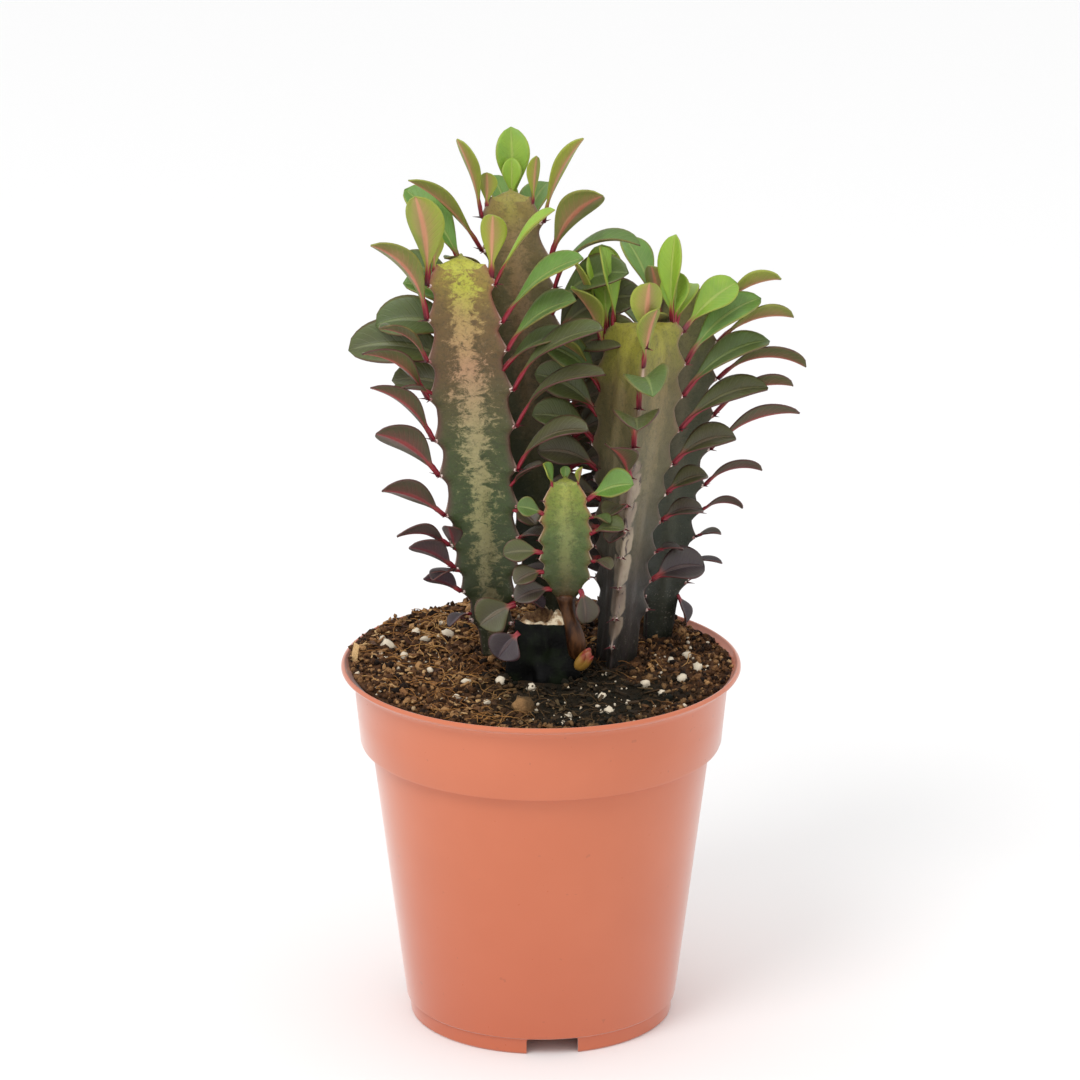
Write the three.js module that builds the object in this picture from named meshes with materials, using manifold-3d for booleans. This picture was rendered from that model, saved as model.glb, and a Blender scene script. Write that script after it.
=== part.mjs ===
// Potted euphorbia: four three-ribbed stems and a young offshoot stand round the stump of an old cut
// stem, in a 12 cm terracotta-coloured nursery pot full of potting mix.
// Millimetres, +Z up, the pot stands on Z = 0. X runs to the right and Y away from the front.
import * as THREE from "three";
import { mergeVertices } from "three/addons/utils/BufferGeometryUtils.js";
import Module from "manifold-3d";

const wasm = await Module();
wasm.setup();

// ---- Driving dimensions ----

const POT_AXIS = [-10.2, 0]; // puts the middle of the whole object's footprint over the origin
const GAP = 0.3; // kept between pieces that touch

const RIM_RADIUS = 60;
const POT_HEIGHT = 111;
const LIP_HEIGHT = 1.8;
const COLLAR_TOP_RADIUS = 56.3;
const COLLAR_FOOT_RADIUS = 54.3;
const COLLAR_FOOT_Z = 86.4;
const BODY_TOP_RADIUS = 51;
const BODY_FOOT_RADIUS = 40.8;
const FOOT_RING_RADIUS = 39.8;
const FOOT_RING_WALL = 2;
const FOOT_RING_HEIGHT = 5;
const WALL = 1.2;
const POT_SEGMENTS = 48;

const NOTCH_WIDTH = 15.5;
const NOTCH_BEARINGS = [275, 35, 155];
const DRAIN_HOLES = 6;
const DRAIN_HOLE_RADIUS = 3.5;
const DRAIN_CIRCLE_RADIUS = 27;

const SOIL_TOP_Z = 108.8;
const SOIL_HUMP = 2.6; // how far the mix is heaped towards the back left
const SOIL_GRIT = 0.4; // the unevenness of its top

const CREST_HALF_ANGLE = 5; // half of a rib's blunt crest, seen from the stem's axis
const FLAT_SHARE = 0.52; // the middle of a face, as a share of the rib's radius
const TOOTH = 1.3; // how far a rib stands out at each leaf base
const TOOTH_PITCH = 10;

const LEAF_STEPS = 7;
const LEAF_THICKNESS = 0.6;
const PETIOLE_SHARE = 0.2; // of the leaf's length
const PETIOLE_WIDTH = 1.3;
const LEAF_STANDOFF = 1.9; // from the rib's crest to the foot of the petiole
const LEAF_FOLD = 0.4; // how far the edges rise above the midrib, as a share of the half width

// Each stem: foot and head of its axis from the pot's axis, bearing of its first rib (0 is +X, 90 is
// +Y) with the twist to the head, and [share of the height, rib radius] from foot to head.
const STEMS = {
  left_stem: {
    foot: [-13, 4, 101],
    head: [-23.6, 2, 233.5],
    bearing: 210,
    twist: 0,
    radii: [[0, 5], [0.13, 5.6], [0.24, 8.4], [0.35, 11.2], [0.58, 13], [0.7, 13.8], [0.83, 12.6],
      [0.93, 11.2], [0.985, 10.2], [1, 9]],
  },
  back_stem: {
    foot: [5, 24, 101],
    head: [-9, 24, 248],
    bearing: 210,
    twist: 0,
    radii: [[0, 5.5], [0.15, 6.5], [0.3, 9.5], [0.5, 12], [0.75, 12], [0.88, 10.8], [0.95, 9.8], [0.985, 9],
      [1, 7.8]],
  },
  middle_stem: {
    foot: [21.4, 4.5, 101],
    head: [30.6, 2, 216],
    bearing: 258,
    twist: 14,
    radii: [[0, 8.6], [0.15, 8.4], [0.3, 8.8], [0.5, 10.8], [0.7, 14.2], [0.88, 14.8], [0.95, 13.8],
      [0.985, 12.6], [1, 11]],
  },
  right_stem: {
    foot: [34, 27, 101],
    head: [40.5, 26, 219],
    bearing: 0,
    twist: 0,
    radii: [[0, 6], [0.12, 7], [0.25, 8.5], [0.42, 10.5], [0.62, 12.8], [0.82, 13], [0.93, 11.5], [0.98, 9.6],
      [1, 7.5]],
  },
  offshoot: {
    foot: [7.4, -13, 129],
    head: [7.2, -14, 171.5],
    bearing: 210,
    twist: 0,
    radii: [[0, 2], [0.14, 2.4], [0.24, 6.2], [0.38, 7.5], [0.58, 8], [0.8, 7.6], [0.93, 6.3], [1, 5]],
  },
};

const STUMP = {
  foot: [0.6, -9, 100],
  head: [0.6, -9, 128],
  bearing: 210,
  twist: 0,
  radii: [[0, 13.4], [0.45, 12.8], [1, 11.2]],
};

const BUD = {
  foot: [11.6, -19, 114.5],
  head: [15.6, -20.8, 122],
  bearing: 270,
  twist: 30,
  radii: [[0, 1.6], [0.35, 2.8], [0.75, 2.4], [1, 0.8]],
};

// Leaves, by stem and rib: [height of the leaf base above the ground, length, width, rise of the
// petiole, curl outwards from foot to tip, swing from the rib's bearing, roll about its midline].
// A rib's leaves go downwards.
const LEAVES = {
  left_stem: [
    [
      [229, 28, 10.5, 93, 22, 0, 38],
      [218.5, 33, 9, 85, 62, 0, 25],
      [206, 21, 7.5, 68, 60, 0, 10],
      [194.5, 29, 8.5, 66, 56, 0, 22],
      [181.5, 29.5, 8, 66, 46, 0, 25],
      [170.5, 27, 10, 58, 40, 0, 45],
      [158, 24, 9, 45, 34, 0, 40],
      [148.5, 19, 7.5, 45, 55, 0, 30],
      [141, 18, 8, 48, 34, 0, 40],
      [133.5, 14, 7, 40, 28, 0, 40],
    ],
    [
      [229.5, 32, 6.5, 66, 28, 2, 25],
      [218, 35, 8.5, 62, 42, 5, 35],
      [209.5, 28, 9.5, 64, 50, 12, 30],
      [197.5, 38, 9, 64, 54, 4, 30],
      [186, 36, 8.5, 68, 68, 8, 15],
      [172.5, 29, 9, 68, 70, 6, 25],
    ],
    [
      [228, 31, 10, 72, 45, 62, -30],
      [216, 27, 9.5, 62, 60, 75, -20],
      [204, 31, 12, 50, 76, 84, -48],
    ],
  ],
  back_stem: [
    [
      [243.5, 26.5, 6, 82, 20, 0, 10],
      [233.5, 34, 7.5, 62, 32, -6, 20],
    ],
    [
      [242, 31, 6, 80, 32, 0, -15],
      [231, 29, 10, 76, 50, 0, -40],
      [222, 34, 8.5, 80, 100, 16, 5],
    ],
    [
      [241, 25.5, 9, 88, 18, 8, 0],
      [229, 26, 8.5, 66, 50, -30, 0],
      [217, 24, 9, 60, 60, 0, 0],
      [202, 22, 8.5, 52, 60, 0, 0],
      [186, 21, 8, 46, 60, 0, 0],
    ],
  ],
  middle_stem: [
    [
      [212, 21, 8.5, 88, 12, 14, 0],
      [194, 30, 11.5, 86, 122, 10, 12],
      [182, 26, 12, 86, 112, 4, 0],
      [172, 16, 9.5, 70, 40, -32, 0],
    ],
    [
      [211, 23, 9, 50, 34, 0, 40],
      [201, 32, 8.5, 58, 52, 0, 30],
      [191, 34, 8.5, 52, 58, 0, 25],
      [180.5, 33, 8.5, 46, 60, 0, 25],
      [170, 23, 9, 45, 62, 0, 25],
      [152.5, 14.5, 7, 36, 60, 0, 20],
      [134, 18, 10.5, 32, 50, 0, 40],
    ],
    [
      [209, 26, 6.5, 82, 25, 8, 25],
      [198, 20, 8.5, 64, 50, 50, 0],
    ],
  ],
  right_stem: [
    [
      [212, 23, 8.5, 56, 54, 0, -34],
      [203, 25, 8.5, 50, 62, 0, -34],
      [191.5, 29, 8.5, 48, 80, 0, -34],
      [169.5, 30, 8, 50, 54, 0, -34],
      [158, 19, 6.5, 50, 70, 0, -34],
      [149.5, 14, 5.5, 45, 80, 0, -30],
    ],
    [
      [211, 25, 8.5, 70, 50, 0, 0],
      [198, 26, 8.5, 58, 60, 0, 0],
      [184, 24, 8, 50, 60, 0, 0],
    ],
  ],
};

const COLOURS = {
  pot: 0xd18065,
  soil: 0x4a3220,
  stem: 0x6f7748,
  stump: 0x23291f,
  bud: 0xc9803a,
  youngLeaf: 0x8fae3c,
  leaf: 0x5c7038,
  oldLeaf: 0x5b4a4e,
};

// ---- Solids and cuts ----

function solidOf(geometry) {
  const bare = geometry.clone();
  bare.deleteAttribute("normal");
  bare.deleteAttribute("uv");
  const merged = mergeVertices(bare, 1e-3);
  return new wasm.Manifold(new wasm.Mesh({
    numProp: 3,
    vertProperties: new Float32Array(merged.attributes.position.array),
    triVerts: new Uint32Array(merged.index.array),
  }));
}

function geometryOf(solid) {
  const mesh = solid.getMesh();
  const geometry = new THREE.BufferGeometry();
  geometry.setAttribute("position", new THREE.BufferAttribute(mesh.vertProperties, 3));
  geometry.setIndex(new THREE.BufferAttribute(mesh.triVerts, 1));
  geometry.computeVertexNormals();
  return geometry;
}

const radians = THREE.MathUtils.degToRad;

// A profile of [radius, height] points turned about +Z.
function turned(profile, segments) {
  const points = profile.map(([radius, height]) => new THREE.Vector2(radius, height));
  return new THREE.LatheGeometry(points, segments).rotateX(Math.PI / 2);
}

// ---- The pot ----

const BASE_TOP_Z = FOOT_RING_HEIGHT + WALL;

function potGeometry() {
  const outside = [
    [0, FOOT_RING_HEIGHT],
    [FOOT_RING_RADIUS - FOOT_RING_WALL, FOOT_RING_HEIGHT],
    [FOOT_RING_RADIUS - FOOT_RING_WALL, 0],
    [FOOT_RING_RADIUS, 0],
    [FOOT_RING_RADIUS, FOOT_RING_HEIGHT],
    [BODY_FOOT_RADIUS, FOOT_RING_HEIGHT],
    [BODY_TOP_RADIUS, COLLAR_FOOT_Z],
    [COLLAR_FOOT_RADIUS, COLLAR_FOOT_Z],
    [COLLAR_TOP_RADIUS, POT_HEIGHT - LIP_HEIGHT - 1],
    [RIM_RADIUS - 0.6, POT_HEIGHT - LIP_HEIGHT],
    [RIM_RADIUS, POT_HEIGHT - LIP_HEIGHT / 2],
    [RIM_RADIUS - 0.8, POT_HEIGHT],
  ];
  const inside = [
    [COLLAR_TOP_RADIUS + 0.4, POT_HEIGHT],
    [COLLAR_TOP_RADIUS - WALL, POT_HEIGHT - LIP_HEIGHT - 1.5],
    [COLLAR_FOOT_RADIUS - WALL, COLLAR_FOOT_Z + WALL],
    [BODY_TOP_RADIUS - WALL, COLLAR_FOOT_Z + WALL],
    [BODY_FOOT_RADIUS - WALL, BASE_TOP_Z],
    [0, BASE_TOP_Z],
  ];
  let pot = solidOf(turned([...outside, ...inside], POT_SEGMENTS));
  for (const bearing of NOTCH_BEARINGS) {
    const notch = new THREE.BoxGeometry(12, NOTCH_WIDTH, FOOT_RING_HEIGHT * 2);
    notch.translate(FOOT_RING_RADIUS, 0, 0).rotateZ(radians(bearing));
    pot = pot.subtract(solidOf(notch));
  }
  for (let hole = 0; hole < DRAIN_HOLES; hole++) {
    const drill = new THREE.CylinderGeometry(DRAIN_HOLE_RADIUS, DRAIN_HOLE_RADIUS, 4, 16);
    drill.rotateX(Math.PI / 2).translate(DRAIN_CIRCLE_RADIUS, 0, FOOT_RING_HEIGHT + WALL / 2);
    drill.rotateZ((hole * 2 * Math.PI) / DRAIN_HOLES);
    pot = pot.subtract(solidOf(drill));
  }
  return geometryOf(pot);
}

// ---- Stems ----

// A stem's section, as [angle from the rib, share of the rib's radius], once round one rib.
const RIB_SECTION = [
  [-CREST_HALF_ANGLE, 1],
  [CREST_HALF_ANGLE, 1],
  [32, 0.6],
  [60, FLAT_SHARE],
  [88, 0.6],
];
const SECTION = [0, 120, 240].flatMap((rib) => RIB_SECTION.map(([angle, share]) => [rib + angle, share]));

function radiusAt(stem, share) {
  const above = Math.max(1, stem.radii.findIndex(([height]) => height >= share - 1e-9));
  const [lowShare, lowRadius] = stem.radii[above - 1];
  const [highShare, highRadius] = stem.radii[above];
  return THREE.MathUtils.mapLinear(share, lowShare, highShare, lowRadius, highRadius);
}

function axisAt(stem, share) {
  return new THREE.Vector3(...stem.foot).lerp(new THREE.Vector3(...stem.head), share);
}

// A cylinder reshaped ring by ring: three ribs, toothed where teeth is more than 0.
function ribbedGeometry(stem, { rings, teeth = 0, grow = 0 }) {
  const sides = SECTION.length;
  const cylinder = new THREE.CylinderGeometry(1, 1, 1, sides, rings);
  const position = cylinder.attributes.position;
  for (let i = 0; i < position.count; i++) {
    const ring = Math.round((position.getY(i) + 0.5) * rings);
    const turn = Math.atan2(position.getX(i), position.getZ(i)) / (2 * Math.PI);
    const [angle, sectionShare] = SECTION[(Math.round(turn * sides) + sides) % sides];
    const share = ring / rings;
    const tooth = sectionShare === 1 && ring % 2 === 1 && share < 0.95 ? teeth : 0;
    const radius = radiusAt(stem, share) * sectionShare + tooth + grow;
    const onAxis = Math.hypot(position.getX(i), position.getZ(i)) < 0.5;
    const bearing = radians(stem.bearing + stem.twist * share + angle);
    const point = axisAt(stem, share);
    if (!onAxis) point.add(new THREE.Vector3(Math.cos(bearing), Math.sin(bearing), 0).multiplyScalar(radius));
    position.setXYZ(i, point.x, point.y, point.z);
  }
  cylinder.computeVertexNormals();
  return cylinder;
}

function stemRings(stem) {
  return 2 * Math.round((stem.head[2] - stem.foot[2]) / TOOTH_PITCH);
}

// ---- The potting mix ----

function soilHeight(x, y) {
  const heap = SOIL_HUMP * THREE.MathUtils.smoothstep(y - x, -50, 70);
  const grit = SOIL_GRIT * (Math.sin(x * 0.31 + 1) * Math.cos(y * 0.27) + Math.sin((x + y) * 0.19));
  return SOIL_TOP_Z + heap + grit;
}

// Everything that stands in the mix gets a socket of its own shape, a gap wider.
function soilGeometry() {
  const collarInside = COLLAR_TOP_RADIUS - WALL - GAP;
  const profile = [
    [0, BASE_TOP_Z + GAP],
    [BODY_FOOT_RADIUS - WALL - GAP, BASE_TOP_Z + GAP],
    [BODY_TOP_RADIUS - WALL - GAP, COLLAR_FOOT_Z + WALL + GAP],
    [COLLAR_FOOT_RADIUS - WALL - GAP, COLLAR_FOOT_Z + WALL + GAP],
    [collarInside - 0.4, SOIL_TOP_Z - 3],
    [collarInside - 0.2, SOIL_TOP_Z - 1],
    [collarInside - 1.2, SOIL_TOP_Z],
    [46, SOIL_TOP_Z],
    [36, SOIL_TOP_Z],
    [26, SOIL_TOP_Z],
    [14, SOIL_TOP_Z],
    [0, SOIL_TOP_Z],
  ];
  const geometry = turned(profile, 36);
  const position = geometry.attributes.position;
  for (let i = 0; i < position.count; i++) {
    const [x, y] = [position.getX(i), position.getY(i)];
    const inside = Math.hypot(x, y) < collarInside - 1;
    if (inside && position.getZ(i) > SOIL_TOP_Z - 0.1) position.setZ(i, soilHeight(x, y));
  }
  let soil = solidOf(geometry);
  for (const planted of [STUMP, ...Object.values(STEMS).filter((stem) => stem !== STEMS.offshoot)]) {
    const socket = ribbedGeometry(planted, { rings: stemRings(planted), teeth: TOOTH, grow: 2 * GAP });
    soil = soil.subtract(solidOf(socket.translate(0, 0, -GAP)));
  }
  return geometryOf(soil);
}

// ---- Leaves ----

// Half the leaf's width, share of the way from its foot to its tip.
function leafHalfWidth(width, share) {
  const petiole = PETIOLE_WIDTH / 2;
  if (share <= PETIOLE_SHARE) return petiole;
  const along = (share - PETIOLE_SHARE) / (1 - PETIOLE_SHARE);
  const blade = (width / 2) * Math.sin(Math.PI * along ** 1.3) ** 0.75;
  return Math.max(blade, along < 0.5 ? petiole : 0.3);
}

// A thin box bent along the midline's arc, with the petiole's foot at `from`.
function leafGeometry(from, bearing, [, length, width, rise, curl, , roll]) {
  const box = new THREE.BoxGeometry(2, 1, 1, 2, 1, LEAF_STEPS);
  const outward = new THREE.Vector3(Math.cos(radians(bearing)), Math.sin(radians(bearing)), 0);
  const sideways = new THREE.Vector3(-outward.y, outward.x, 0);
  const position = box.attributes.position;
  const start = radians(rise);
  const bend = radians(curl);
  const [lean, level] = [Math.sin(radians(roll)), Math.cos(radians(roll))];
  for (let i = 0; i < position.count; i++) {
    const share = position.getZ(i) + 0.5;
    const slope = start - bend * share;
    const out = (length / bend) * (Math.sin(start) - Math.sin(slope));
    const up = (length / bend) * (Math.cos(slope) - Math.cos(start));
    const flat = position.getX(i) * leafHalfWidth(width, share);
    const raised = position.getY(i) * LEAF_THICKNESS + LEAF_FOLD * Math.abs(flat);
    const across = flat * level - raised * lean;
    const lift = flat * lean + raised * level;
    const point = new THREE.Vector3().copy(from).addScaledVector(sideways, across);
    point.addScaledVector(outward, out - Math.sin(slope) * lift);
    point.z += up + Math.cos(slope) * lift;
    position.setXYZ(i, point.x, point.y, point.z);
  }
  box.computeVertexNormals();
  return box;
}

function leafFoot(stem, bearing, share) {
  const crest = radiusAt(stem, share) + LEAF_STANDOFF;
  const outward = new THREE.Vector3(Math.cos(radians(bearing)), Math.sin(radians(bearing)), 0);
  return axisAt(stem, share).addScaledVector(outward, crest);
}

// ---- Assembly ----

const plant = new THREE.Group();
plant.position.set(POT_AXIS[0], POT_AXIS[1], 0);

const finishes = Object.fromEntries(Object.entries(COLOURS).map(([name, color]) => [
  name,
  new THREE.MeshStandardMaterial({ color, roughness: name === "soil" ? 0.95 : 0.5, metalness: 0 }),
]));

function add(name, geometry, finish) {
  const mesh = new THREE.Mesh(geometry, finishes[finish]);
  mesh.name = name;
  plant.add(mesh);
}

add("nursery_pot", potGeometry(), "pot");
add("potting_mix", soilGeometry(), "soil");
add("cut_stump", ribbedGeometry(STUMP, { rings: 3 }), "stump");
add("stump_bud", ribbedGeometry(BUD, { rings: 3 }), "bud");
for (const [name, stem] of Object.entries(STEMS)) {
  add(name, ribbedGeometry(stem, { rings: stemRings(stem), teeth: TOOTH }), "stem");
}

for (const [name, ribs] of Object.entries(LEAVES)) {
  const stem = STEMS[name];
  ribs.forEach((rows, rib) => rows.forEach((row, n) => {
    const [height, , , , , swing] = row;
    const share = (height - stem.foot[2]) / (stem.head[2] - stem.foot[2]);
    const bearing = stem.bearing + stem.twist * share + 120 * rib;
    const age = share > 0.88 ? "youngLeaf" : share < 0.42 ? "oldLeaf" : "leaf";
    const leafName = `${name.replace("stem", "leaf")}_${"abc"[rib]}${n + 1}`;
    add(leafName, leafGeometry(leafFoot(stem, bearing, share), bearing + swing, row), age);
  }));
}

export default plant;
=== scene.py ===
from math import cos, exp, hypot, pi, radians, sin, tau
from random import Random

import bmesh
import bpy
from mathutils import Matrix, Vector, noise


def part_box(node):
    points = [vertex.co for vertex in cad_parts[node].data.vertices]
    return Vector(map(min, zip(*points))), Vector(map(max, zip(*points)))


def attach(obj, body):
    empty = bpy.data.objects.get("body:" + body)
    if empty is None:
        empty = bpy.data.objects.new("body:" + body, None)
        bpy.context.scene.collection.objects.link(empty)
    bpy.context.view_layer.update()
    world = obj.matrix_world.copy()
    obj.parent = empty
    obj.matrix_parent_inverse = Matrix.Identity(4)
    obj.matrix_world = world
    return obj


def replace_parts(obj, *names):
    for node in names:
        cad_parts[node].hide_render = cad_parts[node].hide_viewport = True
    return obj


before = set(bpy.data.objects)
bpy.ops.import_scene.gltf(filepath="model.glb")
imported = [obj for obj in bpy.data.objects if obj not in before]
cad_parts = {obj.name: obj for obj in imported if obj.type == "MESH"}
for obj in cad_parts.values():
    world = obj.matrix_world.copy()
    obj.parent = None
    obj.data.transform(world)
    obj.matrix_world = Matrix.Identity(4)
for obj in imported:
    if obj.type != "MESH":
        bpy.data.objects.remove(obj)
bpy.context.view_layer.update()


# ---- Nursery pot ----
# One injection-moulded pot of terracotta-coloured polypropylene: a flared lip, a collar band, a
# tapered body and a foot ring with three drainage notches. The foot ring is what stands on the floor.

MM = 0.001
pot_low, pot_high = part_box("nursery_pot")
POT_AXIS = Vector(((pot_low[0] + pot_high[0]) / 2, (pot_low[1] + pot_high[1]) / 2, 0))
POT_HEIGHT = (pot_high[2] - pot_low[2]) / MM

POT_PROFILE = [  # radius, height in millimetres: under the base, up the outside, down the inside
    (0, 5), (37.1, 5), (37.7, 4.5), (37.8, 0.6), (38.3, 0), (39.2, 0), (39.7, 0.5), (39.9, 4.7),
    (40.3, 5.1), (40.9, 5.5), (41.1, 6.5), (50.8, 84.6), (51.0, 85.8), (51.6, 86.3), (53.5, 86.4),
    (54.1, 86.6), (54.4, 87.4), (55.3, 97), (56.2, 106.4), (56.6, 107.7), (57.5, 108.6),
    (58.9, 109.1), (59.7, 109.5), (60, 110.1), (59.8, 110.7), (59.3, 111), (58.9, 110.9),
    (58.6, 110.4), (58.2, 109.9), (57, 109.2), (55.4, 107.6), (53.2, 88.2), (52.8, 87.7), (50, 87.6),
    (49.6, 87.1), (39.8, 6.9), (39.2, 6.2), (0, 6.2),
]
POT_STEPS = 168
NOTCH_BEARINGS = (275, 35, 155)
NOTCH_WIDTH = 15.5
NOTCH_HEIGHT = 5
NOTCH_DEPTH = 12
NOTCH_CIRCLE_RADIUS = 39
NOTCH_BEVEL = 0.8
DRAIN_HOLES = 6
DRAIN_HOLE_RADIUS = 3.5
DRAIN_CIRCLE_RADIUS = 27
DRAIN_CUT_DEPTH = 5
BASE_MIDDLE_HEIGHT = 5.6
MERGE_DISTANCE = 1e-6  # in metres
SHARP_EDGE = 38  # the smallest angle, in degrees, that stays a sharp edge of the pot


class Wire:
    """One socket among a material's nodes. Arithmetic on it adds Math nodes; node() adds any other."""

    def __init__(self, tree, socket=None):
        self.tree = tree
        self.socket = socket

    def node(self, kind, settings=None, sockets=None, output=0):
        made = self.tree.nodes.new(kind)
        for name, value in (settings or {}).items():
            if name == "stops":
                ramp = made.color_ramp
                while len(ramp.elements) < len(value):
                    ramp.elements.new(1)
                for element, (place, *colour) in zip(ramp.elements, value):
                    element.position = place
                    element.color = solid(*colour)
            else:
                setattr(made, name, value)
        for name, value in (sockets or {}).items():
            if isinstance(value, Wire):
                self.tree.links.new(value.socket, made.inputs[name])
            else:
                made.inputs[name].default_value = value
        return Wire(self.tree, made.outputs[output] if made.outputs else None)

    def math(self, operation, first, second=0.0):
        return self.node("ShaderNodeMath", {"operation": operation}, {0: first, 1: second})

    def __add__(self, other):
        return self.math("ADD", self, other)

    __radd__ = __add__

    def __sub__(self, other):
        return self.math("SUBTRACT", self, other)

    def __rsub__(self, other):
        return self.math("SUBTRACT", other, self)

    def __mul__(self, other):
        return self.math("MULTIPLY", self, other)

    __rmul__ = __mul__

    def smooth(self, low, high):
        """0 below low and 1 above high, with a soft step between them."""
        return self.node(
            "ShaderNodeMapRange",
            {"interpolation_type": "SMOOTHSTEP"},
            {"Value": self, "From Min": low, "From Max": high},
        )

    def paint(self, below, above):
        """The colour below where this is 0, and the colour above where it is 1."""
        return self.node("ShaderNodeMix", {"data_type": "RGBA"}, {0: self, 6: below, 7: above}, 2)


def solid(red, green, blue):
    """A display colour, 0 to 255, as the linear opaque colour that a shader takes."""
    return (*((value / 255) ** 2.2 for value in (red, green, blue)), 1)


def finish_of(name, fixed, varied):
    """A material. fixed sets the shader's own sockets; varied(start) gives the linked ones."""
    material = bpy.data.materials.new(name)
    material.use_nodes = True
    tree = material.node_tree
    shader = next(node for node in tree.nodes if node.type == "BSDF_PRINCIPLED")
    for socket, value in fixed.items():
        shader.inputs[socket].default_value = value
    for socket, wire in varied(Wire(tree)).items():
        tree.links.new(wire.socket, shader.inputs[socket])
    return material


def object_place(start):
    return start.node("ShaderNodeTexCoord", output=3)


def coordinate(start, vector, index):
    return start.node("ShaderNodeSeparateXYZ", None, {0: vector}, index)


def written(start, name):
    """The number that a piece's vertices carry under name."""
    return start.node("ShaderNodeAttribute", {"attribute_name": name}, output=2)


def ramp(start, stops, where):
    """A colour read off stops, each a place from 0 to 1 and a display colour."""
    return start.node("ShaderNodeValToRGB", {"stops": stops}, {0: where})


def stretched(start, place, upright):
    return start.node("ShaderNodeMapping", None, {"Vector": place, "Scale": (1, 1, upright)})


def mottle(start, place, scale, detail=4.0, roughness=0.55, distortion=0.0):
    values = {"Vector": place, "Scale": scale, "Detail": detail, "Roughness": roughness,
              "Distortion": distortion}
    return start.node("ShaderNodeTexNoise", None, values)


def looks(start, colour, roughness, height, distance, strength=1.0):
    """The linked sockets of a finish. Its bumps are height times distance, in metres."""
    values = {"Height": height, "Distance": distance, "Strength": strength}
    return {"Base Color": colour, "Roughness": roughness,
            "Normal": start.node("ShaderNodeBump", None, values)}


def mesh_of(name, bm):
    mesh = bpy.data.meshes.new(name)
    bm.to_mesh(mesh)
    bm.free()
    return mesh


def linked(name, data):
    """A new object that shows data, in the scene."""
    made = bpy.data.objects.new(name, data)
    bpy.context.collection.objects.link(made)
    return made


def applied(piece):
    """A mesh of piece as its modifiers or its curve's bevel leave it."""
    return bpy.data.meshes.new_from_object(piece.evaluated_get(bpy.context.evaluated_depsgraph_get()))


def turned(outline, steps):
    """A closed skin spun about the pot's axis from radii and heights in millimetres."""
    bm = bmesh.new()
    line = [bm.verts.new((radius * MM, 0, height * MM)) for radius, height in outline]
    for first, second in zip(line, line[1:]):
        bm.edges.new((first, second))
    bmesh.ops.spin(bm, geom=bm.verts[:] + bm.edges[:], cent=(0, 0, 0), axis=(0, 0, 1), angle=tau,
                   steps=steps, use_merge=True)
    bmesh.ops.remove_doubles(bm, verts=bm.verts, dist=MERGE_DISTANCE)
    bmesh.ops.recalc_face_normals(bm, faces=bm.faces)
    return bm


def open_rim(bm, height, upper):
    """The boundary edges above a height in millimetres, or the ones below it."""
    return [edge for edge in bm.edges
            if edge.is_boundary and (edge.verts[0].co.z > height * MM) == upper]


def extruded(bm, rim):
    """Extrudes an open rim: its new edges, its new vertices and the faces between."""
    made = bmesh.ops.extrude_edge_only(bm, edges=rim)["geom"]
    edges = [item for item in made if isinstance(item, bmesh.types.BMEdge) and item.is_boundary]
    ring = [item for item in made if isinstance(item, bmesh.types.BMVert)]
    return edges, ring, [item for item in made if isinstance(item, bmesh.types.BMFace)]


def middle_of(ring):
    return sum((vert.co for vert in ring), Vector()) / len(ring)


def stand_up(name, bm, materials, sharp=0):
    """Makes bm, built in metres about the pot's axis, a finished piece that rides with the pot."""
    bmesh.ops.translate(bm, vec=POT_AXIS, verts=bm.verts)
    mesh = mesh_of(name, bm)
    for material in materials:
        mesh.materials.append(material)
    mesh.shade_smooth()
    if sharp:
        mesh.set_sharp_from_angle(angle=radians(sharp))
    piece = linked(name, mesh)
    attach(piece, "root")
    return piece


def pot_finish(start):
    place = object_place(start)
    broad = mottle(start, place, 18)
    fine = mottle(start, place, 900, 2)
    scuffs = mottle(start, place, 150, 8, 0.8).smooth(0.72, 0.8)
    specks = mottle(start, place, 420, 1).smooth(0.76, 0.78)
    # Painted shade: the plastic is painted darker towards the pot's foot, where less light reaches it.
    low = coordinate(start, place, 2).smooth(0.075, 0.0)
    colour = broad.smooth(0.35, 0.68).paint(solid(194, 104, 69), solid(200, 110, 75))
    colour = (low * 0.5).paint(colour, solid(182, 92, 64))
    colour = (scuffs * 0.16).paint(colour, solid(222, 160, 136))
    colour = (specks * 0.2).paint(colour, solid(120, 72, 58))
    return looks(start, colour, fine * 0.06 + scuffs * 0.1 + 0.26,
                 fine * 0.3 + broad * 3, 0.00004, 0.2)


POT_GLOSS = {"Specular IOR Level": 0.65, "Sheen Weight": 0.5, "Sheen Roughness": 0.35}
pot = stand_up("pot", turned(POT_PROFILE, POT_STEPS),
               [finish_of("pot_plastic", POT_GLOSS, pot_finish)])
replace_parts(pot, "nursery_pot")

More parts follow.
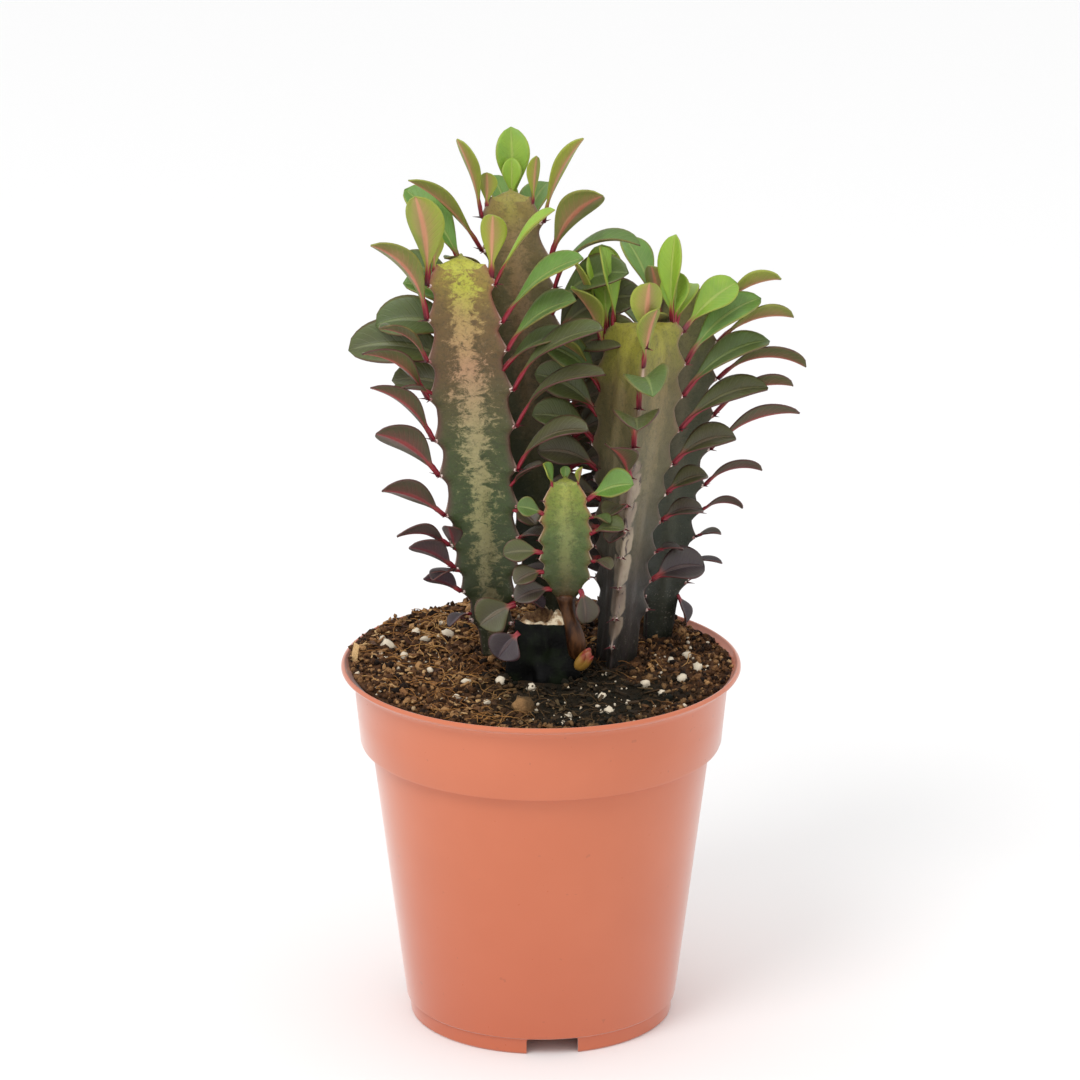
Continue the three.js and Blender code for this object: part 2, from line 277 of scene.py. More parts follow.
bm = bmesh.new()
for bearing in NOTCH_BEARINGS:
    turn = Matrix.Translation(POT_AXIS) @ Matrix.Rotation(radians(bearing), 4, "Z")
    place = Matrix.Translation((NOTCH_CIRCLE_RADIUS * MM, 0, 0))
    size = Matrix.Diagonal((NOTCH_DEPTH * MM, NOTCH_WIDTH * MM, 2 * NOTCH_HEIGHT * MM, 1))
    bmesh.ops.create_cube(bm, size=1, matrix=turn @ place @ size)
bmesh.ops.bevel(bm, geom=bm.edges[:], offset=NOTCH_BEVEL * MM, affect="EDGES", segments=3,
                profile=0.5, material=-1)
for hole in range(DRAIN_HOLES):
    turn = Matrix.Translation(POT_AXIS) @ Matrix.Rotation(tau * hole / DRAIN_HOLES, 4, "Z")
    place = Matrix.Translation((DRAIN_CIRCLE_RADIUS * MM, 0, BASE_MIDDLE_HEIGHT * MM))
    bmesh.ops.create_cone(bm, cap_ends=True, segments=24, radius1=DRAIN_HOLE_RADIUS * MM,
                          radius2=DRAIN_HOLE_RADIUS * MM, depth=DRAIN_CUT_DEPTH * MM,
                          matrix=turn @ place)
cutter = linked("cutter", mesh_of("cutter", bm))
cut = pot.modifiers.new("notches and holes", "BOOLEAN")
cut.object = cutter
cut.solver = "EXACT"
cut_mesh = applied(pot)
pot.modifiers.clear()
pot.data = cut_mesh
cut_mesh.set_sharp_from_angle(angle=radians(SHARP_EDGE))
bpy.data.objects.remove(cutter)


# ---- Potting mix ----
# Peat with coir fibre, bark and perlite, filled almost to the rim and heaped towards the back left.
# The bed is one body; loose crumbs, chips, fibres and perlite lie on it. Fine wet grit is dark.

BED_RADIUS = 57.8
BED_TOP = 109.2
BED_HEAP = 2.6
BED_STEPS = 210
BED_RINGS = 56
GRIT_CENTRE = (12, -28)
GRIT_RADIUS = 24
CRUMBS = 5600
HEAPED_CRUMBS = 1300  # the last of them, heaped round what stands in the mix
RIM_CRUMBS = 420  # the last of the heaped ones, along the pot's rim instead
CHIPS = 620
STANDING_CHIP = 4
FIBRES = 330
FIBRE_RADIUS = 0.13
FIBRE_STEP = 1.1
PERLITE_GRAINS = 420
BATCH = 40  # pieces made at a time, which keeps a crowded mesh quick to build
STANDING = ((-13, 4, 7), (5, 24, 8), (22, 4, 10), (34, 27, 9), (0.6, -10, 12))  # x, y, radius


def heap(x, y):
    step = min(max((y - x + 50) / 120, 0), 1)
    return BED_TOP + BED_HEAP * step * step * (3 - 2 * step)


def bed_height(x, y):
    coarse = noise.noise(Vector((x * 0.16, y * 0.16, 3)))
    fine = noise.noise(Vector((x * 0.55, y * 0.55, 9)))
    return heap(x, y) + 0.9 * coarse + 0.6 * fine


def open_ground(random, reach):
    """A place on the bed, away from what stands in it."""
    while True:
        x, y = random.uniform(-reach, reach), random.uniform(-reach, reach)
        if hypot(x, y) < reach and all(hypot(x - a, y - b) > r for a, b, r in STANDING):
            return x, y


def lump(bm, layer, tone, place, size, random, divisions=1, rough=0.42):
    """A crumb of irregular shape, with its tone written in layer."""
    turn = Matrix.Rotation(random.uniform(0, tau), 4, Vector((random.gauss(0, 1), random.gauss(0, 1), 1)))
    stretch = Matrix.Diagonal((size * random.uniform(0.8, 1.3), size, size * random.uniform(0.6, 1), 1))
    matrix = Matrix.Translation(Vector(place) * MM) @ turn @ Matrix.Scale(MM, 4) @ stretch
    ball = bmesh.ops.create_icosphere(bm, subdivisions=divisions, radius=1, matrix=matrix)["verts"]
    centre = Vector(place) * MM
    for vert in ball:
        vert.co = centre + (vert.co - centre) * (1 + rough * random.uniform(-1, 1))
        vert[layer] = tone


def scattered(count, make):
    """A bmesh of count pieces that make(bm, tone layer, number) adds, put together in small batches."""
    whole = bmesh.new()
    whole.verts.layers.float.new("tone")
    for first in range(0, count, BATCH):
        batch = bmesh.new()
        tone = batch.verts.layers.float.new("tone")
        for number in range(first, min(first + BATCH, count)):
            make(batch, tone, number)
        mesh = mesh_of("batch", batch)
        whole.from_mesh(mesh)
        bpy.data.meshes.remove(mesh)
    return whole


def mix_finish(dark, middle, light, roughness=0.88):
    """Crumbs coloured by their own tone, and darker where the wet grit lies."""

    def varied(start):
        place = object_place(start)
        grain = mottle(start, place, 1400, 3, 0.7)
        stops = ((0.1, *dark), (0.5, *middle), (0.9, *light))
        colour = ramp(start, stops, written(start, "tone") + grain * 0.8 - 0.4)
        centre = POT_AXIS + Vector((*GRIT_CENTRE, BED_TOP)) * MM
        away = start.node("ShaderNodeVectorMath", {"operation": "DISTANCE"}, {0: place, 1: centre}, 1)
        wet = (away + mottle(start, place, 90, 4) * 0.05 - 0.025).smooth(0.04, 0.018)
        colour = (wet * 0.84).paint(colour, solid(17, 23, 13))
        return looks(start, colour, grain * 0.2 + roughness - 0.1, grain, 0.0006, 1.0)

    return varied


BED_UNDERSIDE = [(55.1, 107), (53, 88.1), (49.4, 88), (39.1, 6.5), (0, 6.5)]  # radius, height
BED_EDGE_RADIUS = 56  # beyond it the mix lies level, just under the lip
BED_EDGE_DROP = 1.6
surface = [(BED_RADIUS * step / BED_RINGS, BED_TOP) for step in range(BED_RINGS + 1)]
bm = turned(surface + BED_UNDERSIDE, BED_STEPS)
tone = bm.verts.layers.float.new("tone")
for vert in bm.verts:
    x, y = vert.co.x / MM, vert.co.y / MM
    if vert.co.z > (BED_TOP - 1) * MM:
        least = POT_HEIGHT - BED_EDGE_DROP if hypot(x, y) > BED_EDGE_RADIUS else 0
        vert.co.z = max(bed_height(x, y), least) * MM
    vert[tone] = 0.32 + 0.3 * noise.noise(Vector((x * 0.4, y * 0.4, 1)))
PEAT = ((30, 19, 12), (98, 66, 41), (184, 140, 94))  # dark, middle, light
BARK = ((66, 40, 24), (146, 102, 62), (216, 178, 124))
COIR = ((96, 56, 26), (168, 116, 60), (222, 176, 112))
bed = stand_up("mix_bed", bm,
               [finish_of("peat_bed", {"Specular IOR Level": 0.25}, mix_finish(*PEAT))])
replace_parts(bed, "potting_mix")

random = Random(7)


def crumb(bm, tone, number):
    """Crumbs all over, then some heaped round the stems' feet and along the rim, and one clod."""
    if number == CRUMBS - 1:
        lump(bm, tone, 1.4, (-5, -40, BED_TOP + 1.6), 3.2, random, 2, 0.2)
        return
    x, y = open_ground(random, BED_RADIUS - 1)
    size = min(0.3 + random.expovariate(3.4), 1.5)
    if hypot(x - GRIT_CENTRE[0], y - GRIT_CENTRE[1]) < GRIT_RADIUS:
        size = size * 0.6
    mound = 0
    if number > CRUMBS - HEAPED_CRUMBS:
        x, y, foot = STANDING[number % len(STANDING)]
        bearing, reach = random.uniform(0, tau), foot + random.uniform(-1.5, 2.5)
        x, y, mound = x + reach * cos(bearing), y + reach * sin(bearing), random.uniform(0, 1.6)
    if number > CRUMBS - RIM_CRUMBS:
        bearing, reach = radians(random.uniform(0, 360)), random.uniform(52, 57.4)
        x, y, size = reach * cos(bearing), reach * sin(bearing), random.uniform(0.4, 1.0)
        mound = 0.5
    place = (x, y, bed_height(x, y) + mound + size * 0.35)
    lump(bm, tone, random.betavariate(1.7, 2.4), place, size, random)


stand_up("peat_crumbs", scattered(CRUMBS, crumb),
         [finish_of("peat_crumb", {"Specular IOR Level": 0.25}, mix_finish(*PEAT))])


def chip(bm, tone, number):
    """A sliver of bark lying on the mix, more often on the left. One stands at the left rim."""
    x, y = open_ground(random, BED_RADIUS - 2.5)
    if x > random.uniform(-30, 60):
        return
    long = min(1.2 + random.expovariate(1), 5.4)
    size = Matrix.Diagonal((long, random.uniform(0.5, 1.5), random.uniform(0.25, 0.6), 1))
    tilt = Matrix.Rotation(random.gauss(0, 0.4), 4, (random.gauss(0, 1), random.gauss(0, 1), 0.01))
    turn = Matrix.Rotation(random.uniform(0, tau), 4, "Z")
    place = Matrix.Translation(Vector((x, y, bed_height(x, y) + 0.9)) * MM)
    shade_of_chip = random.betavariate(2, 2)
    if number == STANDING_CHIP:
        size = Matrix.Diagonal((9, 3.6, 0.7, 1))
        tilt = Matrix.Rotation(radians(100), 4, "Y")
        turn = Matrix.Rotation(radians(25), 4, "Z")
        place = Matrix.Translation(Vector((-56, -3, 113)) * MM)
        shade_of_chip = 0.85
    matrix = place @ turn @ tilt @ Matrix.Scale(MM, 4) @ size
    corners = bmesh.ops.create_cube(bm, size=1, matrix=matrix)["verts"]
    for vert in corners:
        vert.co += Vector((random.gauss(0, 1), random.gauss(0, 1), random.gauss(0, 0.4))) * 0.22 * MM
        vert[tone] = shade_of_chip


bm = scattered(CHIPS, chip)
bmesh.ops.bevel(bm, geom=bm.edges[:], offset=0.12 * MM, affect="EDGES", segments=1, profile=0.5,
                material=-1)
stand_up("bark_chips", bm,
         [finish_of("bark", {"Specular IOR Level": 0.3}, mix_finish(*BARK, 0.75))], sharp=30)

strands = bpy.data.curves.new("strands", "CURVE")
strands.dimensions = "3D"
strands.bevel_depth = FIBRE_RADIUS * MM
strands.bevel_resolution = 0
strands.use_fill_caps = True
for fibre in range(FIBRES):
    x, y = open_ground(random, BED_RADIUS - 5)
    if x > random.uniform(-20, 45):
        continue
    heading = random.uniform(0, tau)
    arch = random.uniform(0.3, 2.2)
    steps = random.randint(6, 16)
    strand = strands.splines.new("POLY")
    strand.points.add(steps - 1)
    for step, point in enumerate(strand.points):
        height = bed_height(x, y) + 0.35 + arch * sin(pi * step / (steps - 1))
        point.co = (x * MM, y * MM, height * MM, 1)
        point.radius = random.uniform(0.6, 1.5)
        heading += random.gauss(0, 0.35)
        x, y = x + cos(heading) * FIBRE_STEP, y + sin(heading) * FIBRE_STEP
        if hypot(x, y) > BED_RADIUS - 1:
            x, y = x * 0.97, y * 0.97
wires = linked("strands", strands)
bm = bmesh.new()
bm.from_mesh(applied(wires))
bpy.data.objects.remove(wires)
bmesh.ops.remove_doubles(bm, verts=bm.verts, dist=MERGE_DISTANCE)
tone = bm.verts.layers.float.new("tone")
for vert in bm.verts:
    vert[tone] = 0.5 + 0.5 * noise.noise(vert.co * 60)
stand_up("coir_fibres", bm,
         [finish_of("coir", {"Specular IOR Level": 0.35}, mix_finish(*COIR, 0.7))])

PERLITE_PLACES = (  # x, y, size of the larger grains that lie on top
    (-46, 9, 2.2), (-38, 22, 1.7), (-35, 17, 1.9), (-30, 30, 1.4), (-28, 20, 2.1), (-22, -20, 1.9),
    (-12, -18, 1.7), (-3, -22, 1.9), (18, -28, 1.4), (20, -40, 1.6), (31, -18, 1.8), (42, -12, 1.6),
    (44, 8, 1.4), (36, -24, 1.3), (47, -3, 1.7), (-41, 2, 1.4), (-20, 36, 1.7), (-48, 16, 1.3),
    (-25, -30, 1.3), (8, -44, 1.3), (26, -34, 1.2), (39, 4, 1.2), (-33, -10, 1.2), (-16, -34, 1.1),
)


def grain_of_perlite(bm, tone, number):
    if number < len(PERLITE_PLACES):
        x, y, size = PERLITE_PLACES[number]
        lump(bm, tone, 0.85, (x, y, bed_height(x, y) + size * 0.35), size * 0.92, random, 2, 0.24)
        return
    x, y = open_ground(random, BED_RADIUS - 1)
    size = min(0.2 + random.expovariate(5), 0.8)
    lump(bm, tone, random.uniform(0.2, 0.9), (x, y, bed_height(x, y) + size * 0.5), size, random, 1, 0.3)


def perlite_finish(start):
    grain = mottle(start, object_place(start), 1100, 3)
    white = (written(start, "tone") + grain - 0.75).smooth(0, 0.4)
    colour = white.paint(solid(164, 134, 96), solid(222, 208, 184))
    return looks(start, colour, grain * 0.2 + 0.7, grain, 0.0003, 0.7)


stand_up("perlite", scattered(PERLITE_GRAINS, grain_of_perlite),
         [finish_of("perlite", {}, perlite_finish)])


# ---- Stems ----
# Fleshy upright stems with three toothed ribs. A tooth carries a leaf, or the scar of a fallen one,
# above a pair of spines. Each stem is one skin, rolled up from a sheet and closed at both ends.

CREST = 0.11  # draws the sheet's columns together at the crests of the ribs
AROUND = 90
RING_PITCH = 0.8
TOOTH = 2.7
TOOTH_BELOW = 3.6  # a tooth's reach along the rib, under its tip and over it
TOOTH_ABOVE = 7
TOOTH_SINK = 0.3  # the share of a tooth by which the rib falls back between teeth
FULL_TOOTH_RADIUS = 8  # a thinner stem has smaller teeth in proportion
TOOTH_SHARE_OF_TURN = 8  # degrees either side of a crest over which a tooth fades into the faces
HORN = 1.6  # how far the ribs stand above the head of a stem
HORN_LENGTH = 6
WORN_FOOT, WORN_HEAD = 116, 178  # heights between which a weathered rib is pale
HEAD_RINGS = ((0.78, 0.9), (0.6, 0.7), (0.4, 0.2))  # share of the ring outside it, rise
FOOT_RINGS = ((0.5, 0),)
MIDDLE_OF_FACE = 1 / 6
STEMS = {
    "left_stem": dict(
        foot=(-13, 4, 101), head=(-23.6, 2, 233.5), bearing=210, twist=0,
        radii=((0, 5), (0.13, 5.6), (0.24, 8.4), (0.35, 11.2), (0.58, 13), (0.7, 13.8), (0.83, 12.6),
               (0.93, 11.2), (0.985, 10.2), (1, 9)),
        teeth=((229, 218.5, 206, 194.5, 181.5, 170.5, 158, 148.5, 141, 133.5, 124),
               (229.5, 218, 209.5, 197.5, 186, 172.5, 161, 151, 141, 132, 123),
               (228, 216, 204, 193, 181, 169, 157, 146, 136, 126)),
    ),
    "back_stem": dict(
        foot=(5, 24, 101), head=(-9, 24, 248), bearing=210, twist=0,
        radii=((0, 5.5), (0.15, 6.5), (0.3, 9.5), (0.5, 12), (0.75, 12), (0.88, 10.8), (0.95, 9.8),
               (0.985, 9), (1, 7.8)),
        teeth=((243.5, 233.5, 223, 212, 200, 189, 178, 167, 156, 145, 134, 124),
               (242, 231, 222, 210, 198, 187, 176, 165, 154, 143, 133, 123),
               (241, 229, 217, 202, 186, 174, 162, 151, 140, 130)),
    ),
    "middle_stem": dict(
        foot=(21.4, 4.5, 101), head=(30.4, 2, 213.4), bearing=258, twist=14, weathered=1,
        radii=((0, 8.6), (0.15, 8.4), (0.3, 8.8), (0.5, 10.8), (0.7, 14.2), (0.88, 14.8), (0.95, 13.8),
               (0.985, 12.6), (1, 11)),
        teeth=((212, 203, 194, 182, 172, 163, 155, 146, 136, 126, 117),
               (211, 201, 191, 180.5, 170, 161, 152.5, 143, 134, 125),
               (209, 198, 187, 176, 165, 154, 144, 134, 124)),
    ),
    "right_stem": dict(
        foot=(34, 27, 101), head=(40.5, 26, 219), bearing=0, twist=0,
        radii=((0, 6), (0.12, 7), (0.25, 8.5), (0.42, 10.5), (0.62, 12.8), (0.82, 13), (0.93, 11.5),
               (0.98, 9.6), (1, 7.5)),
        teeth=((212, 203, 191.5, 180, 169.5, 158, 149.5, 141.5, 134.5, 127),
               (211, 198, 184, 173, 162, 151, 141, 131),
               (210, 199, 188, 177, 166, 155, 145, 135, 125)),
    ),
    "offshoot": dict(
        foot=(7.4, -13, 133), head=(7.2, -14, 171.5), bearing=210, twist=0,
        radii=((0, 1.8), (0.06, 3.4), (0.14, 6.2), (0.3, 7.6), (0.58, 8.2), (0.8, 7.6), (0.94, 6.3),
               (1, 5)),
        teeth=((167, 161, 155, 149, 143.5), (167.5, 162.5, 157.5, 153, 148.5, 143),
               (166, 160, 154, 148, 142)),
    ),
}


def rib_radius(stem, share):
    for (low, low_radius), (high, high_radius) in zip(stem["radii"], stem["radii"][1:]):
        if share <= high:
            step = (share - low) / (high - low)
            return low_radius + (high_radius - low_radius) * step
    return stem["radii"][-1][1]


def compass(bearing):
    """A level vector of length 1 at a bearing in degrees."""
    return Vector((cos(radians(bearing)), sin(radians(bearing)), 0))


def axis_point(stem, share):
    return Vector(stem["foot"]).lerp(Vector(stem["head"]), share)


def tooth_height(stem, rib, height):
    """How far a rib stands out at a height: scallops that meet in each tooth's tip."""
    out = 0
    for tip in stem["teeth"][rib]:
        above = height - tip
        if -TOOTH_BELOW < above <= 0:
            out = max(out, (1 + above / TOOTH_BELOW) ** 1.6)
        elif 0 < above < TOOTH_ABOVE:
            out = max(out, (1 - above / TOOTH_ABOVE) ** 1.8)
    return out


def face_radius(turn, radius):
    """A rib's section: turn is the angle from its crest, up to 60 degrees either way."""
    off = min(abs(turn), 60)
    wing = radius * 0.5 / cos(radians(60 - off))
    hollow = 1 - 0.07 * sin(radians(off * 3)) ** 2
    blunt = radius * (1 - 0.055 * exp(-(turn / 5) ** 2))
    return min(wing * hollow, blunt)


def stem_skin(bm, stem, rings, tooth=TOOTH):
    """Rolls a sheet into the stem. Writes on it where the areoles and the weathered strip are."""
    low, high = Vector(stem["foot"]).z, Vector(stem["head"]).z
    lumps = stem.get("lumps", 0.25)
    bm.loops.layers.uv.new("UVMap")
    areole = bm.verts.layers.float.new("areole")
    weathered = bm.verts.layers.float.new("weathered")
    bmesh.ops.create_grid(bm, x_segments=AROUND, y_segments=rings, size=0.5, calc_uvs=True)
    for vert in bm.verts:
        around, share = vert.co.x + 0.5, vert.co.y + 0.5
        face = around * 3 % 1
        rib = round(around * 3) % 3
        turn = 120 * (int(around * 3 + 1e-6) + face - CREST * sin(tau * face))
        off_crest = (turn + 60) % 120 - 60
        height = low + (high - low) * share
        radius = rib_radius(stem, share)
        stout = min(1, radius / FULL_TOOTH_RADIUS)
        out = tooth_height(stem, rib, height)
        near = exp(-(off_crest / TOOTH_SHARE_OF_TURN) ** 2)
        reach = face_radius(off_crest, radius) + tooth * stout * out * near - tooth * TOOTH_SINK * near
        bearing = radians(stem["bearing"] + stem["twist"] * share + turn)
        ripple = lumps * noise.noise(Vector((cos(bearing) * 2, sin(bearing) * 2, height * 0.15)))
        outward = Vector((cos(bearing), sin(bearing), 0))
        horn = HORN * stout * near * max(0, 1 - (1 - share) * (high - low) / HORN_LENGTH) ** 2
        vert.co = (axis_point(stem, share) + outward * (reach + ripple) + Vector((0, 0, horn))) * MM
        vert[areole] = exp(-(off_crest / 2.4) ** 2) * (0.35 + 0.65 * out)
        if rib == 0:
            worn = min(1, max(0, (height - WORN_FOOT) / 8), max(0, (WORN_HEAD - height) / 4))
            worn = stem.get("weathered", 0) * worn
            vert[weathered] = worn * exp(-(off_crest / 24) ** 2) * (1 - out ** 6)
    bmesh.ops.remove_doubles(bm, verts=bm.verts, dist=2e-6)


def stem_finish(band, side, crest, stretch=1.5, mottling=1.0):
    """band, side and crest are a face's middle, its flanks and its ribs, each as stops up the stem."""

    def varied(start):
        place = object_place(start)
        sheet = start.node("ShaderNodeUVMap")
        along = coordinate(start, sheet, 1)
        face = start.math("FRACT", coordinate(start, sheet, 0) * 3)
        off_middle = start.math("ABSOLUTE", face - 0.5) * 2
        drawn = stretched(start, place, stretch)
        feather = mottle(start, drawn, 230, 10, 0.76, 0.6)
        blotch = mottle(start, place, 85, 3)
        grain = mottle(start, place, 1500, 2)
        height = along + blotch * 0.12 - 0.06
        middle, flank, rib = (ramp(start, stops, height) for stops in (band, side, crest))
        fine = mottle(start, drawn, 520, 6, 0.7)
        ragged = (feather - 0.5) * 2.3 + (fine - 0.5) * 0.6
        in_band = (off_middle * 0.8 + ragged * mottling).smooth(0.44 - 0.06 * mottling, 0.06)
        colour = in_band.paint(flank, middle)
        dark = (feather + fine * 0.4).smooth(0.68, 0.95)
        colour = (dark * (0.5 * mottling)).paint(colour, solid(44, 54, 32))
        colour = (fine.smooth(0.4, 0.7) * 0.16).paint(colour, rib)
        speckle = mottle(start, place, 950, 3, 0.8).smooth(0.5, 0.62)
        colour = (speckle * 0.3).paint(colour, solid(44, 50, 28))
        colour = (off_middle + blotch * 0.3 - 0.15).smooth(0.7, 0.98).paint(colour, rib)
        areole = written(start, "areole").smooth(0.3, 0.85)
        colour = (areole * 0.7).paint(colour, solid(206, 178, 162))
        cracks = mottle(start, drawn, 260, 5, 0.65, 1.2).smooth(0.36, 0.46)
        flaky = (written(start, "weathered") + mottle(start, place, 130, 4) - 0.5).smooth(0.25, 0.5)
        dry = blotch.smooth(0.35, 0.65).paint(solid(118, 100, 86), solid(166, 150, 128))
        colour = flaky.paint(colour, cracks.paint(solid(70, 54, 50), dry))
        dots = grain.smooth(0.6, 0.72)
        dusty = along.smooth(0.35, 0.0) * blotch.smooth(0.45, 0.6) * 0.3 + 0.05
        colour = (dots * dusty).paint(colour, solid(206, 200, 180))
        return looks(start, colour, grain * 0.16 + blotch * 0.12 + 0.36,
                     grain * 0.5 + fine * 2 + feather, 0.00022, 0.6)

    return varied


STEM_SHEEN = {"Specular IOR Level": 0.45, "Subsurface Weight": 0.08,
              "Subsurface Radius": (0.002, 0.0025, 0.001)}
# The stops grow dark towards the foot: partly the older skin's own colour, partly painted shade low down
# among the crowded stems.
STEM_COLOURS = {  # band, side and crest: stops from the foot to the head
    "left_stem": (
        ((0, 84, 70, 56), (0.2, 104, 96, 70), (0.45, 142, 138, 92), (0.6, 154, 144, 102),
         (0.78, 172, 134, 100), (0.9, 170, 144, 88), (0.98, 178, 178, 66)),
        ((0, 44, 34, 28), (0.2, 50, 56, 34), (0.45, 64, 78, 42), (0.6, 68, 76, 40), (0.78, 94, 74, 44),
         (0.9, 108, 86, 48), (0.98, 140, 120, 56)),
        ((0, 54, 38, 36), (0.4, 80, 60, 52), (0.8, 98, 66, 54), (1, 146, 92, 68)),
    ),
    "back_stem": (
        ((0, 44, 42, 32), (0.4, 70, 72, 42), (0.75, 128, 104, 74), (0.93, 144, 120, 80),
         (1, 152, 142, 64)),
        ((0, 28, 32, 24), (0.4, 48, 56, 32), (0.75, 88, 82, 48), (0.93, 110, 94, 58),
         (1, 142, 122, 62)),
        ((0, 40, 34, 32), (0.5, 64, 58, 46), (1, 116, 90, 72)),
    ),
    "middle_stem": (
        ((0, 28, 22, 25), (0.3, 60, 52, 46), (0.6, 122, 112, 84), (0.84, 132, 116, 76),
         (0.97, 152, 146, 60)),
        ((0, 22, 18, 20), (0.3, 44, 40, 35), (0.6, 96, 90, 64), (0.84, 104, 94, 58),
         (0.97, 138, 134, 54)),
        ((0, 44, 36, 38), (0.5, 112, 96, 86), (1, 138, 112, 82)),
    ),
    "right_stem": (
        ((0, 32, 34, 28), (0.4, 56, 60, 40), (0.8, 100, 92, 64), (1, 126, 122, 60)),
        ((0, 22, 26, 20), (0.4, 40, 48, 30), (0.8, 74, 76, 44), (1, 112, 114, 52)),
        ((0, 44, 36, 40), (0.5, 74, 64, 58), (1, 112, 90, 70)),
    ),
    "offshoot": (
        ((0, 72, 46, 34), (0.2, 84, 80, 48), (0.6, 122, 130, 76), (0.95, 144, 152, 70)),
        ((0, 64, 40, 30), (0.2, 62, 70, 36), (0.6, 78, 96, 48), (0.95, 120, 134, 52)),
        ((0, 60, 40, 30), (0.3, 88, 84, 48), (0.7, 126, 96, 56), (1, 150, 104, 62)),
    ),
}

for name, stem in STEMS.items():
    bm = bmesh.new()
    foot, head = stem["foot"][2], stem["head"][2]
    stem_skin(bm, stem, int((head - foot) / RING_PITCH))
    sheet = bm.loops.layers.uv[0]
    halfway = (foot + head) / 2
    for upper, rings in ((True, HEAD_RINGS), (False, FOOT_RINGS)):
        rim = open_rim(bm, halfway, upper)
        caps = []
        for size, lift in rings:
            rim, ring, faces = extruded(bm, rim)
            caps += faces
            middle = middle_of(ring)
            for vert in ring:
                vert.co = middle + (vert.co - middle) * size
                vert.co.z = middle.z + lift * min(1, stem["radii"][-1][1] / 9) * MM
        caps += bmesh.ops.contextual_create(bm, geom=rim)["faces"]
        for corner in (corner for face in caps for corner in face.loops):
            corner[sheet].uv = (MIDDLE_OF_FACE, int(upper))
    bmesh.ops.recalc_face_normals(bm, faces=bm.faces)
    stretch = 0.5 if name == "middle_stem" else 1.5
    mottling = {"left_stem": 1, "middle_stem": 0.6}.get(name, 0.5)
    finish = finish_of(name + "_skin", STEM_SHEEN, stem_finish(*STEM_COLOURS[name], stretch, mottling))
    piece = stand_up(name + "_skin", bm, [finish])
    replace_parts(piece, name)


# ---- Stump of the old stem ----
# What is left of the first stem: a three-ribbed stub cut straight across. Its skin has gone nearly
# black, and the cut has dried to a hollow brown face inside a pale torn rim. A bud sits at its foot.

STUMP = dict(foot=(0.6, -9, 104), head=(0.6, -9, 127.4), bearing=210, twist=0,
             radii=((0, 14), (0.3, 13.2), (0.6, 12), (1, 10.6)), teeth=((), (), ()), lumps=1.6)
STUMP_RINGS = 24
STUMP_HALFWAY = 120
TORN_FLAP = Vector((5.4, -13.8, 0))  # where the rim stands up in a point
FLAP_HEIGHT = 4.5
FLAP_WIDTH = 2.2
PITH, TORN = 1, 2  # the finishes of the cut, after that of the skin
CUT_RINGS = ((0.93, 1.1, TORN), (0.8, -0.6, PITH), (0.5, -2.4, PITH), (0.2, -2.9, PITH))


def stump_finish(start):
    place = object_place(start)
    blotch = mottle(start, place, 160, 4)
    grain = mottle(start, place, 1300, 2)
    colour = blotch.smooth(0.45, 0.7).paint(solid(5, 6, 5), solid(24, 30, 18))
    colour = (grain.smooth(0.68, 0.76) * 0.2).paint(colour, solid(90, 88, 72))
    return looks(start, colour, blotch * 0.3 + 0.4, blotch * 2 + grain, 0.0003, 0.4)


def pith_finish(start):
    place = object_place(start)
    fibres = mottle(start, place, 420, 5, 0.7)
    colour = fibres.smooth(0.35, 0.68).paint(solid(92, 62, 40), solid(176, 138, 96))
    return looks(start, colour, fibres * 0.2 + 0.75, fibres, 0.0006, 0.8)


def torn_rim_finish(start):
    fibres = mottle(start, object_place(start), 700, 3)
    colour = fibres.smooth(0.35, 0.6).paint(solid(150, 118, 84), solid(226, 208, 176))
    return looks(start, colour, fibres * 0.1 + 0.65, fibres, 0.0003, 0.6)


bm = bmesh.new()
stem_skin(bm, STUMP, STUMP_RINGS, tooth=0)
rim = open_rim(bm, STUMP_HALFWAY, True)
bmesh.ops.contextual_create(bm, geom=open_rim(bm, STUMP_HALFWAY, False))
middle = Vector(STUMP["head"]) * MM
shrunk = 1
for share, lift, material in CUT_RINGS:  # share of the rim's radius, height from the cut, finish
    rim, ring, faces = extruded(bm, rim)
    for face in faces:
        face.material_index = material
    for vert in ring:
        away = Vector((vert.co.x, vert.co.y, 0)) - Vector((middle.x, middle.y, 0))
        ragged = noise.noise(vert.co * 300) * 1.8 if share > 0.7 else noise.noise(vert.co * 250) * 0.5
        vert.co = middle + away * (share / shrunk)
        off_flap = (vert.co - TORN_FLAP * MM).xy.length / (FLAP_WIDTH * MM)
        flap = FLAP_HEIGHT * exp(-off_flap ** 2) if material == TORN else 0
        vert.co.z = middle.z + (lift + ragged + flap) * MM
    shrunk = share
for face in bmesh.ops.contextual_create(bm, geom=rim)["faces"]:
    face.material_index = PITH
bmesh.ops.recalc_face_normals(bm, faces=bm.faces)
stump = stand_up("stump", bm, [
    finish_of("blackened_skin", {"Specular IOR Level": 0.16}, stump_finish),
    finish_of("dried_cut", {}, pith_finish), finish_of("torn_rim", {}, torn_rim_finish)])
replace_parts(stump, "cut_stump")


# ---- Stalk of the offshoot ----
# The young shoot grows from the stump's right shoulder on a smooth reddish-brown stalk, which swells
# where it joins the old wood.

STALK_PATH = (  # x, y, height, radius
    (10.6, -14.0, 116, 2.2), (10.6, -14.6, 120.5, 3.0), (10.2, -14.9, 124.5, 2.9),
    (9.2, -14.6, 128, 2.4), (8.1, -13.8, 131.5, 2.3), (7.4, -13.2, 135, 2.6), (7.3, -13.1, 137.5, 4.2),
)


def young_bark_finish(start):
    streaks = mottle(start, stretched(start, object_place(start), 0.3), 520, 4)
    colour = streaks.smooth(0.35, 0.65).paint(solid(44, 26, 16), solid(86, 56, 34))
    return looks(start, colour, streaks * 0.2 + 0.3, streaks, 0.0002, 0.5)


